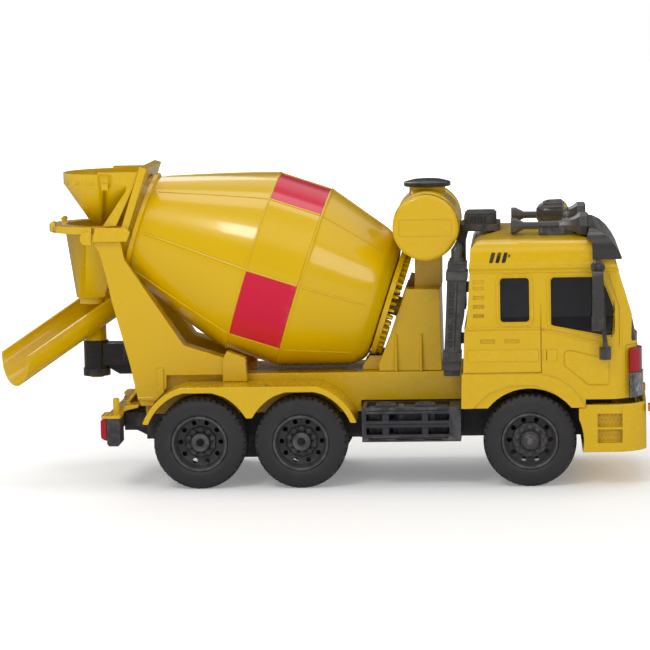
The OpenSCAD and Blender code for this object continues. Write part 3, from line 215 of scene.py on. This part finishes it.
# ---------------------------------------------------------------- mesh and piece helpers
def add_object(name, data):
    ob = bpy.data.objects.new(name, data)
    bpy.context.scene.collection.objects.link(ob)
    return ob


def add_piece(name, mesh, body, materials):
    ob = add_object(name, mesh)
    for material in materials:
        mesh.materials.append(M[material])
    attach(ob, body)
    return ob


def smooth(mesh, crease):
    """Smooth shading, kept sharp where faces meet at more than crease degrees."""
    for face in mesh.polygons:
        face.use_smooth = True
    mesh.set_sharp_from_angle(angle=math.radians(crease))


def mesh_from(name, verts, faces):
    """A mesh from points in millimetres, with its normals made consistent."""
    mesh = bpy.data.meshes.new(name)
    mesh.from_pydata([tuple(c * MM for c in vert) for vert in verts], [], faces)
    mesh.update()
    bm = bmesh.new()
    bm.from_mesh(mesh)
    bmesh.ops.recalc_face_normals(bm, faces=bm.faces)
    bm.to_mesh(mesh)
    bm.free()
    return mesh


def add_detail(name, shape, crease, material, mesh_name=None):
    """A new chassis piece from (verts, faces)."""
    mesh = mesh_from(mesh_name or name, *shape)
    smooth(mesh, crease)
    add_piece(name, mesh, "chassis", [material])


def tube_sides(base, rings, count):
    """Quads that join successive rings of count points, numbered from base."""
    faces = []
    for start in range(base, base + (rings - 1) * count, count):
        for c in range(count):
            d = (c + 1) % count
            faces.append((start + c, start + d, start + count + d, start + count + c))
    return faces


def cap(start, count):
    return tuple(range(start, start + count))


def turn(profile, segments, place):
    """Turn a closed profile [(station, radius), ...]; place(station, radius, degrees)."""
    verts = [place(station, radius, 360 * k / segments)
             for k in range(segments) for station, radius in profile]
    count = len(profile)
    faces = []
    for k in range(segments):
        here, there = k * count, (k + 1) % segments * count
        for i in range(count):
            j = (i + 1) % count
            faces.append((here + i, here + j, there + j, there + i))
    return verts, faces


# ---------------------------------------------------------------- drum
# Stations run along the axis towards the cab; the two shells meet near station 33.
DRUM_X, DRUM_Z = -43.4, 129.7  # station 0
DRUM_SLOPE = math.radians(18.3)
REAR_R, BELLY_R, JOINT_R = 31.6, 55.6, 55.3  # rear of the cone, its front, shell joint
NECK_R = 30.6
WALL = 1.7
RIB_HEIGHT, RIB_HALF_WIDTH, RIB_ROOT = 0.5, 0.5, -0.3
RIB_ANGLES = (0, 41, 90, 138, 180, 222, 270, 319)
RED_PANELS = tuple(zip(RIB_ANGLES[::2], RIB_ANGLES[1::2]))
BAND_STEPS = 10
REAR_SEGMENTS, FRONT_SEGMENTS = 288, 240


def drum_point(station, radius, degrees):
    """Point on the drum; 0 degrees is the top, and angles grow towards the right side."""
    angle = math.radians(degrees)
    rise = math.cos(angle) * radius
    cos, sin = math.cos(DRUM_SLOPE), math.sin(DRUM_SLOPE)
    return (DRUM_X + cos * station + sin * rise, -math.sin(angle) * radius,
            DRUM_Z - sin * station + cos * rise)


def cone_radius(share, swell):
    """Radius at a share of the way from rear to belly radius, swollen outwards."""
    return BELLY_R * share + REAR_R * (1 - share) + swell


def spline(points, steps):
    """Catmull-Rom curve through the points."""
    padded = [points[0]] + points + [points[-1]]
    curve = []
    for a, b, c, d in zip(padded, padded[1:], padded[2:], padded[3:]):
        for k in range(steps):
            u = k / steps
            curve.append(tuple(
                0.5 * (2 * q + (r - p) * u + (2 * p - 5 * q + 4 * r - s) * u * u
                       + (3 * q - p - 3 * r + s) * u ** 3)
                for p, q, r, s in zip(a, b, c, d)))
    curve.append(points[-1])
    return curve


def add_ribs(shape, line):
    """Add a low rib along line [(station, radius), ...] at every rib angle."""
    verts, faces = shape
    w, h = RIB_HALF_WIDTH, RIB_HEIGHT
    # sideways offset, height
    section = ((-w, RIB_ROOT), (-w, h * 0.55), (-w * 0.6, h),
               (w * 0.6, h), (w, h * 0.55), (w, RIB_ROOT))
    sides = len(section)
    for angle in RIB_ANGLES:
        base = len(verts)
        for station, radius in line:
            for offset, height in section:
                turned = angle + math.degrees(offset / radius)
                verts.append(drum_point(station, radius + height, turned))
        faces += tube_sides(base, len(line), sides)
        faces.append(cap(base, sides))
        faces.append(cap(len(verts) - sides, sides)[::-1])


def build_drum_rear():
    cone = spline([(-68.2, REAR_R), (-40.8, cone_radius(0.4, 0.5)),
                   (-19, cone_radius(0.72, 0.5)), (0, BELLY_R)], 10)
    # station, radius: neck and collar, cone, raised hoop, then the band up to the joint
    outer = [(-78, 30.2), (-77.7, NECK_R), (-71.6, NECK_R), (-71.3, 33.1), (-71.0, 33.4),
             (-68.9, 33.4), (-68.6, 33.1)]
    outer += cone
    outer += [(0.1, BELLY_R + RIB_HEIGHT * 0.8), (0.3, BELLY_R + RIB_HEIGHT),
              (0.9, BELLY_R + RIB_HEIGHT), (1.2, BELLY_R + RIB_HEIGHT * 0.7),
              (1.4, BELLY_R + 0.02)]
    band_start = len(outer) - 1
    outer += [(1.4 + i * 3.1, BELLY_R + (JOINT_R - BELLY_R) * i / BAND_STEPS)
              for i in range(1, BAND_STEPS + 1)]
    inner = [(32.4, JOINT_R - WALL), (0.2, BELLY_R - WALL),
             (-18.6, cone_radius(0.72, 0.4) - WALL), (-40.4, cone_radius(0.4, 0.4) - WALL),
             (-67.6, REAR_R - WALL), (-77.7, NECK_R - WALL), (-78, 29.3)]
    profile = outer + inner
    shape = turn(profile, REAR_SEGMENTS, drum_point)
    add_ribs(shape, [(s, r) for s, r in cone if s > -66]
             + [(2 + i * 3.0, BELLY_R - 0.28 * i / BAND_STEPS) for i in range(BAND_STEPS + 1)])
    mesh = mesh_from("drum_rear_shell.look", *shape)

    # red panels on the band, between alternate pairs of ribs
    material_index = [0] * len(shape[1])
    for k in range(REAR_SEGMENTS):
        middle = 360 * (k + 0.5) / REAR_SEGMENTS
        if any(start < middle < end for start, end in RED_PANELS):
            first = k * len(profile) + band_start
            material_index[first:first + BAND_STEPS] = [1] * BAND_STEPS
    mesh.polygons.foreach_set("material_index", material_index)
    smooth(mesh, 30)
    ob = add_piece("drum_rear_shell.look", mesh, "drum", ["drum", "red"])
    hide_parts("drum_rear_shell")


def build_drum_front():
    nose = spline([(33.9, JOINT_R), (52, 49.4), (73, 42.4), (79, 38.6), (82.6, 34.2),
                   (83.8, 28)], 8)
    # station, radius: tongue and hoop at the joint, nose, front boss and pin, then the inside
    profile = [(31, JOINT_R - WALL - 0.05), (32.5, JOINT_R - WALL - 0.05),
               (32.5, JOINT_R + RIB_HEIGHT * 0.7), (32.7, JOINT_R + RIB_HEIGHT),
               (33.3, JOINT_R + RIB_HEIGHT), (33.6, JOINT_R + RIB_HEIGHT * 0.7)]
    profile += nose
    profile += [(83.8, 24), (86.9, 24), (86.9, 10), (88.4, 6), (97.6, 6), (98.4, 5.4),
                (98.4, 0.01), (96.4, 0.01), (96.4, 4.2), (87, 4.2), (85, 9), (85, 22.2),
                (82.1, 22.2), (82.1, 28), (81, 33.2), (77.8, 37.2), (72.2, 41), (51.6, 47.9),
                (33.6, JOINT_R - WALL), (33, JOINT_R - WALL - 1.4),
                (31, JOINT_R - WALL - 1.4)]
    shape = turn(profile, FRONT_SEGMENTS, drum_point)
    add_ribs(shape, [(s, r) for s, r in nose if 33.8 < s < 73.5])
    mesh = mesh_from("drum_front_shell.look", *shape)
    smooth(mesh, 32)
    ob = add_piece("drum_front_shell.look", mesh, "drum", ["drum"])
    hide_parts("drum_front_shell")


build_drum_rear()
build_drum_front()

# ---------------------------------------------------------------- every other CAD piece
WELD_DISTANCE = 2e-6
FLAT_ANGLE = math.radians(0.5)  # triangles within this angle are merged
SHARP_ANGLE = math.radians(32)  # edges above this angle are rounded
MERGE_TOLERANCE = 0.0004  # share of the area that merging may change

# Rounding width and shortest rounded edge in mm, crease in degrees, where not the default
TYRE = dict(width=0, crease=30)
RIM = dict(width=0, crease=28)
GLASS = dict(width=0.15)
KNUCKLE = dict(width=0.25)
BOX = dict(width=0.3, shortest=3)
REFINE = {
    "drum_blades": dict(width=0, crease=50),
    "drum_ring_gear": dict(width=0.18, shortest=0.8),
    "drive_pinion": dict(width=0.15, shortest=0.8),
    "front_tyre_left": TYRE, "front_tyre_right": TYRE,
    "rear_tyres_a": TYRE, "rear_tyres_b": TYRE,
    "front_rim_left": RIM, "front_rim_right": RIM, "rear_rims_a": RIM, "rear_rims_b": RIM,
    "windshield": GLASS, "side_windows": GLASS, "headlamp_lenses": GLASS, "turn_lamps": GLASS,
    "spotlight_lens": dict(width=0, crease=40),
    "tank_cap": dict(width=0.3), "water_tank": dict(width=0.3),
    "cab_shell": dict(width=0.22, shortest=1.6),
    "hopper": BOX, "discharge_box": BOX,
    "body_screws": dict(width=0.1, shortest=0.6),
    "roof_horns": dict(width=0.25), "air_intake": dict(width=0.25),
    "exhaust_stack": dict(width=0.2),
    "sun_visor": dict(width=0, crease=30, material="visor"),
    "control_board": dict(width=0.15), "steering_servo": dict(width=0.3),
    "knuckle_left": KNUCKLE, "knuckle_right": KNUCKLE,
}


def flat_area(bm):
    """Area triangle by triangle, so that a badly merged face shows up."""
    return sum((b.vert.co - a.vert.co).cross(c.vert.co - a.vert.co).length / 2
               for a, b, c in bm.calc_loop_triangles())


def dissolve_flat(bm):
    bmesh.ops.dissolve_limit(bm, angle_limit=FLAT_ANGLE, verts=bm.verts, edges=bm.edges,
                             use_dissolve_boundaries=False)


def join_flat(bm):
    bmesh.ops.join_triangles(bm, faces=bm.faces, angle_face_threshold=FLAT_ANGLE,
                             angle_shape_threshold=math.radians(180))


def merge_flat(bm, area):
    """A copy with flat patches merged by the first way that keeps the area, or a plain copy."""
    for merge in (dissolve_flat, join_flat):
        merged = bm.copy()
        merge(merged)
        if abs(flat_area(merged) / area - 1) <= MERGE_TOLERANCE:
            return merged
        merged.free()
    return bm.copy()


def mark_edges(bm, width, shortest):
    """Weight the long sharp edges that don't touch a very short edge."""
    weight = bm.edges.layers.float.new("bevel_weight_edge")
    crowded = {v.index for e in bm.edges if e.calc_length() < 1.1 * width * MM
               for v in e.verts}
    for e in bm.edges:
        if (len(e.link_faces) == 2 and e.calc_length() > shortest * MM
                and e.calc_face_angle(0.0) > SHARP_ANGLE
                and not any(v.index in crowded for v in e.verts)):
            e[weight] = 1.0


def refine(name, width=0.35, shortest=1.2, crease=34, material=None):
    """A cleaned, edge-rounded copy of a CAD piece, and the piece's area."""
    welded = bmesh.new()
    welded.from_mesh(NODES[name].data)
    bmesh.ops.remove_doubles(welded, verts=welded.verts, dist=WELD_DISTANCE)
    area = flat_area(welded)
    bm = merge_flat(welded, area)
    welded.free()
    if width > 0:
        mark_edges(bm, width, shortest)
    mesh = bpy.data.meshes.new(name + ".look")
    bm.to_mesh(mesh)
    bm.free()
    smooth(mesh, crease)
    ob = add_piece(name + ".look", mesh, BODY[name],
                   [material or SLOT_MATERIAL[SLOT[name]]])
    if width > 0:
        bevel = ob.modifiers.new("round", "BEVEL")
        bevel.width = width * MM
        bevel.segments = 2
        bevel.limit_method = "WEIGHT"
        bevel.use_clamp_overlap = False
        bevel.miter_outer = "MITER_ARC"
        bevel.harden_normals = False
        ob.modifiers.new("wn", "WEIGHTED_NORMAL").keep_sharp = True
    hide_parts(name)
    return ob, area


def extents(mesh):
    points = [v.co for v in mesh.vertices]
    return ([min(p[i] for p in points) for i in range(3)],
            [max(p[i] for p in points) for i in range(3)])


def rounding_fails(name, ob, true_area, depsgraph):
    """Whether the rounding leaves the CAD extents or changes the area too much."""
    evaluated = ob.evaluated_get(depsgraph)
    mesh = evaluated.to_mesh()
    mesh.calc_loop_triangles()
    area = sum(triangle.area for triangle in mesh.loop_triangles)
    low, high = extents(mesh)
    evaluated.to_mesh_clear()
    cad_low, cad_high = extents(NODES[name].data)
    outside = max(max(cad_low[i] - low[i], high[i] - cad_high[i]) for i in range(3))
    return outside > 2e-5 or area > true_area * 1.0005 or area < true_area * 0.955


looks, areas = {}, {}
for name in NODES:
    if name not in ("drum_rear_shell", "drum_front_shell"):
        looks[name], areas[name] = refine(name, **REFINE.get(name, {}))

# an edge rounding that folds over itself is halved, halved again, then left out
for leave_out in (False, False, True):
    depsgraph = bpy.context.evaluated_depsgraph_get()
    for name, ob in looks.items():
        bevel = ob.modifiers.get("round")
        if bevel is None or not rounding_fails(name, ob, areas[name], depsgraph):
            continue
        if leave_out:
            ob.modifiers.remove(ob.modifiers["wn"])
            ob.modifiers.remove(bevel)
        else:
            bevel.width *= 0.5


def recolour(name, material, chosen):
    """Give the chosen faces of a piece a second material."""
    mesh = looks[name].data
    mesh.materials.append(M[material])
    for face in mesh.polygons:
        if chosen(face.center):
            face.material_index = 1


# the low markers on the front bumper are amber, the lamps above them red
recolour("turn_lamps", "amber", lambda centre: centre.z < 0.052)
# painted shade: the rear axles are steel, coloured dark to stand for the shade in their
# recessed holes
for name in ("rear_shaft_a", "rear_shaft_b"):
    looks[name].data.materials[0] = M["steel_painted_shade"]
# painted shade: the closed backs of both grilles are coloured dark to stand for the shade
# behind the grilles
recolour("front_fascia", "cap",
         lambda centre: 0.1800 < centre.x < 0.18235 and abs(centre.y) < 0.0336)
recolour("front_bumper", "cap",
         lambda centre: 0.1845 < centre.x < 0.18615 and abs(centre.y) < 0.0270)


# ---------------------------------------------------------------- upright grille ribs
def grille_ribs(back, front, first_y, count, bottom, top, pitch=4):
    verts, faces = [], []
    for i in range(count):
        y = first_y + i * pitch
        base = len(verts)
        for x, half in ((back, 0.55), (front - 0.25, 0.5), (front, 0.3)):
            verts += [(x, y - half, bottom), (x, y + half, bottom),
                      (x, y + half, top), (x, y - half, top)]
        faces += tube_sides(base, 3, 4)
        faces += [cap(base, 4)[::-1], cap(base + 8, 4)]
    return verts, faces


add_detail("grille_ribs", grille_ribs(back=182.0, front=183.2, first_y=-28, count=15,
                                      bottom=55.5, top=78.6), 25, "cap")
add_detail("lower_grille_ribs", grille_ribs(back=185.8, front=187.0, first_y=-22, count=12,
                                            bottom=27.4, top=41.2), 25, "cap")

# ---------------------------------------------------------------- slanted bars on the cab sides
# x of the lower rear corner, width, bottom z, top z
BARS = ((99.0, 2.2, 131.6, 137.6), (102.6, 2.2, 131.6, 137.6),
        (106.2, 2.2, 131.6, 137.6), (110.0, 1.1, 134.9, 136.4))
BAR_RINGS = 7
BAR_SLANT = 0.28  # x gained per mm of height
BAR_SUNK, BAR_PROUD = -0.15, 0.16
ROOF_BEND_Z, ROOF_BEND_Y, ROOF_BEND_R = 134.5, 45.8, 11


def side_y(z):
    """Half width of the cab: a leaning side, then the round bend into the roof."""
    if z <= ROOF_BEND_Z:
        return 57.4 - 0.6 * (z - 126) / 8.5
    return ROOF_BEND_Y + math.sqrt(ROOF_BEND_R ** 2 - (z - ROOF_BEND_Z) ** 2)


def side_bars(sign):
    verts, faces = [], []
    for corner, width, bottom, top in BARS:
        base = len(verts)
        for i in range(BAR_RINGS):
            z = bottom + (top - bottom) * i / (BAR_RINGS - 1)
            x = corner + (z - bottom) * BAR_SLANT
            inset = 0.25 if i in (0, BAR_RINGS - 1) else 0.0
            rear, front = x + inset, x + width - inset
            for edge_x, out in ((rear, BAR_SUNK), (rear, BAR_PROUD),
                                (front, BAR_PROUD), (front, BAR_SUNK)):
                verts.append((edge_x, sign * (side_y(z) + out), z))
        faces += tube_sides(base, BAR_RINGS, 4)
        faces += [cap(base, 4), cap(len(verts) - 4, 4)[::-1]]
    return verts, faces


for sign, side in SIDES:
    add_detail("side_bars_" + side, side_bars(sign), 30, "decal", "side_bars")


# ---------------------------------------------------------------- diamond tread
def studs(centres, normal, along, across, length, width):
    """Diamond studs, alternately turned; length and width are half diagonals."""
    verts, faces = [], []
    normal, along, across = Vector(normal), Vector(along), Vector(across)
    diagonals = (along + across).normalized(), (along - across).normalized()
    for i, centre in enumerate(centres):
        long, short = diagonals[::-1] if i % 2 else diagonals
        base = len(verts)
        for height, taper in ((-0.25, 1.0), (0.32, 0.45)):
            for corner in (long * length * taper, short * width * taper,
                           -long * length * taper, -short * width * taper):
                verts.append(tuple(Vector(centre) + corner + normal * height))
        faces += [cap(base, 4)[::-1], cap(base + 4, 4)]
        faces += tube_sides(base, 2, 4)
    return verts, faces


# two front steps on each side, one above the other
for sign, side in SIDES:
    centres = [(162.2 + i * 2.25 + (1.1 if j % 2 else 0), sign * 54.6, 27.3 + k * 9.2 + j * 2.5)
               for k in range(2) for j in range(3) for i in range(6)]
    shape = studs(centres, normal=(0, sign, 0), along=(1, 0, 0), across=(0, 0, 1),
                  length=0.95, width=0.42)
    add_detail("step_tread_" + side, shape, 20, "yellow", "step_tread")

# rear step, with a bare square on each side
BARE_X, BARE_Y, BARE_HALF = -121.9, 48, 2.6
spots = [(sign, -127.7 + i * 2.6, 43.5 + j * 2.3)
         for sign, _ in SIDES for i in range(4) for j in range(6)]
centres = [(x, sign * y, 44.6) for sign, x, y in spots
           if not (abs(x - BARE_X) < BARE_HALF and abs(y - BARE_Y) < BARE_HALF)]
add_detail("rear_step_tread", studs(centres, normal=(0, 0, 1), along=(1, 0, 0),
                                    across=(0, 1, 0), length=0.9, width=0.4), 20, "yellow")

# sloping ramp, which faces up and back
centres = [(-115.6 + j * 1.35, -24 + i * 3.2, 52.3 + j * 1.72)
           for j in range(-2, 3) for i in range(16)]
add_detail("ramp_tread", studs(centres, normal=(-0.786, 0, 0.618), along=(0, 1, 0),
                               across=(0.618, 0, 0.786), length=1.0, width=0.42),
           20, "yellow")

# ---------------------------------------------------------------- lamp reflectors
# depth along the lamp's axis, radius: inside from the centre to the lip, then the back
HEADLAMP_CUP = [(-3.0, 0.02), (-2.9, 1.2), (-2.0, 3.2), (-0.6, 4.9), (0.0, 5.3),
                (0.0, 5.7), (-0.9, 5.5), (-2.4, 3.6), (-3.5, 1.2), (-3.6, 0.02)]
SPOTLIGHT_CUP = [(-6.2, 0.02), (-5.8, 2.2), (-3.4, 4.6), (0.0, 6.0), (0.6, 6.4),
                 (0.2, 6.6), (-3.6, 5.2), (-6.6, 2.4), (-7.0, 0.02)]


def bowl(x, y, z, profile, tilt=0.0):
    """A cup about an axis along +X, turned towards +Y by tilt."""
    cos, sin = math.cos(tilt), math.sin(tilt)

    def place(depth, radius, degrees):
        angle = math.radians(degrees)
        sideways = radius * math.cos(angle)
        return (x + depth * cos - sideways * sin, y + depth * sin + sideways * cos,
                z + radius * math.sin(angle))

    return turn(profile, 48, place)


for sign, side in SIDES:
    add_detail("headlamp_reflector_" + side,
               bowl(184.0, sign * 44.2, 58.8, HEADLAMP_CUP, tilt=sign * 0.35),
               40, "chrome", "headlamp_reflector")
add_detail("spotlight_reflector", bowl(140.2, 0, 155.4, SPOTLIGHT_CUP), 40, "chrome")


# ---------------------------------------------------------------- floor, light, camera
def floor_material():
    """White that glows brighter away from the truck, and looks dark in reflections."""
    material = surface("studio_floor", (244, 244, 244), rough=0.6, spread=0.05, mottle=0.01,
                       bump=0.02, edge_sheen_and_wear=0.0)
    tree = material.node_tree
    position = add_node(tree, "ShaderNodeNewGeometry").outputs["Position"]
    distance = add_node(tree, "ShaderNodeVectorMath", {0: position}, operation="LENGTH")
    glow = add_node(tree, "ShaderNodeMapRange", {
        "From Min": 0.25, "From Max": 1.3, "To Min": 0.2, "To Max": 1.0,
        "Value": distance.outputs["Value"]}, interpolation_type="SMOOTHSTEP")
    principled = tree.nodes["Principled BSDF"]
    feed(tree, principled, {"Emission Color": (1, 1, 1, 1),
                            "Emission Strength": glow.outputs["Result"]})
    path = add_node(tree, "ShaderNodeLightPath")
    dim = add_node(tree, "ShaderNodeBsdfDiffuse", {"Color": (0.08, 0.08, 0.08, 1)})
    share = add_node(tree, "ShaderNodeMath", {
        0: path.outputs["Is Glossy Ray"], 1: 0.85}, operation="MULTIPLY")
    mixed = add_node(tree, "ShaderNodeMixShader", {
        0: share.outputs[0], 1: principled.outputs[0], 2: dim.outputs[0]})
    feed(tree, tree.nodes["Material Output"], {"Surface": mixed.outputs[0]})
    return material


def build_floor(half=9):
    mesh = bpy.data.meshes.new("floor")
    mesh.from_pydata([(-half, -half, 0), (half, -half, 0), (half, half, 0), (-half, half, 0)],
                     [], [(0, 1, 2, 3)])
    ob = add_object("floor", mesh)
    mesh.materials.append(floor_material())


# height in the room (0 straight down, 1 straight up), brightness seen in reflections
ROOM = ((0.0, 0.5), (0.42, 0.16), (0.5, 0.1), (0.6, 0.06), (0.74, 0.1), (0.8, 0.75),
        (0.9, 0.8), (0.96, 0.3), (1.0, 0.3))


def build_world():
    """White to the camera, softer as light, a banded room in reflections."""
    world = bpy.data.worlds.new("studio")
    bpy.context.scene.world = world
    world.use_nodes = True
    tree = world.node_tree
    light = tree.nodes["Background"]
    feed(tree, light, {"Color": (1, 1, 1, 1), "Strength": 0.62})
    backdrop = add_node(tree, "ShaderNodeBackground", {
        "Color": (1, 1, 1, 1), "Strength": 1.0})
    path = add_node(tree, "ShaderNodeLightPath")
    seen = add_node(tree, "ShaderNodeMixShader", {
        0: path.outputs["Is Camera Ray"], 1: light.outputs[0], 2: backdrop.outputs[0]})
    coords = add_node(tree, "ShaderNodeTexCoord")
    split = add_node(tree, "ShaderNodeSeparateXYZ", {0: coords.outputs["Generated"]})
    height = add_node(tree, "ShaderNodeMath", {
        0: split.outputs["Z"], 1: 0.5, 2: 0.5}, operation="MULTIPLY_ADD")
    ramp = add_node(tree, "ShaderNodeValToRGB", {"Fac": height.outputs[0]})
    stops = ramp.color_ramp.elements
    stops.remove(stops[1])
    stops[0].position = ROOM[0][0]
    stops[0].color = (ROOM[0][1],) * 3 + (1,)
    for position, value in ROOM[1:]:
        stops.new(position).color = (value, value, value, 1)
    room = add_node(tree, "ShaderNodeBackground", {
        "Color": ramp.outputs["Color"], "Strength": 1.0})
    mixed = add_node(tree, "ShaderNodeMixShader", {
        0: path.outputs["Is Glossy Ray"], 1: seen.outputs[0], 2: room.outputs[0]})
    feed(tree, tree.nodes["World Output"], {"Surface": mixed.outputs[0]})


def area_light(name, place, target, size, size_y, power):
    light = bpy.data.lights.new(name, "AREA")
    light.shape = "RECTANGLE"
    light.size = size
    light.size_y = size_y
    light.energy = power
    ob = add_object(name, light)
    ob.location = place
    aim = Vector(target) - Vector(place)
    ob.rotation_euler = aim.to_track_quat("-Z", "Y").to_euler()


def build_camera():
    """Looks along +Y from the truck's right, a little from above."""
    yaw, pitch, roll = 0.0702, 0.1163, -0.0209
    forward = Vector((-math.sin(yaw) * math.cos(pitch), math.cos(yaw) * math.cos(pitch),
                      -math.sin(pitch)))
    level = forward.cross(Vector((0, 0, 1))).normalized()
    upright = level.cross(forward)
    right = math.cos(roll) * level + math.sin(roll) * upright
    up = -math.sin(roll) * level + math.cos(roll) * upright
    camera = bpy.data.cameras.new("camera")
    camera.sensor_width = 36
    camera.lens = 158.233846
    camera.clip_end = 50
    ob = add_object("camera", camera)
    pose = Matrix((right, up, -forward)).transposed().to_4x4()
    pose.translation = Vector((0.11915, -1.70576, 0.28985))
    ob.matrix_world = pose
    bpy.context.scene.camera = ob


build_floor()
build_world()
area_light("key", (-0.5, -1.0, 1.25), (0, 0, 0.08), size=0.55, size_y=0.35, power=5.5)
area_light("fill", (1.1, -1.1, 0.7), (0.05, 0, 0.09), size=0.6, size_y=0.5, power=2.2)
area_light("top", (0.0, 0.1, 1.5), (0, 0, 0.1), size=1.2, size_y=0.6, power=4.0)
area_light("rim", (-0.6, 1.2, 0.9), (0, 0, 0.1), size=0.8, size_y=0.8, power=3.0)
build_camera()
bpy.context.scene.view_settings.view_transform = "Standard"
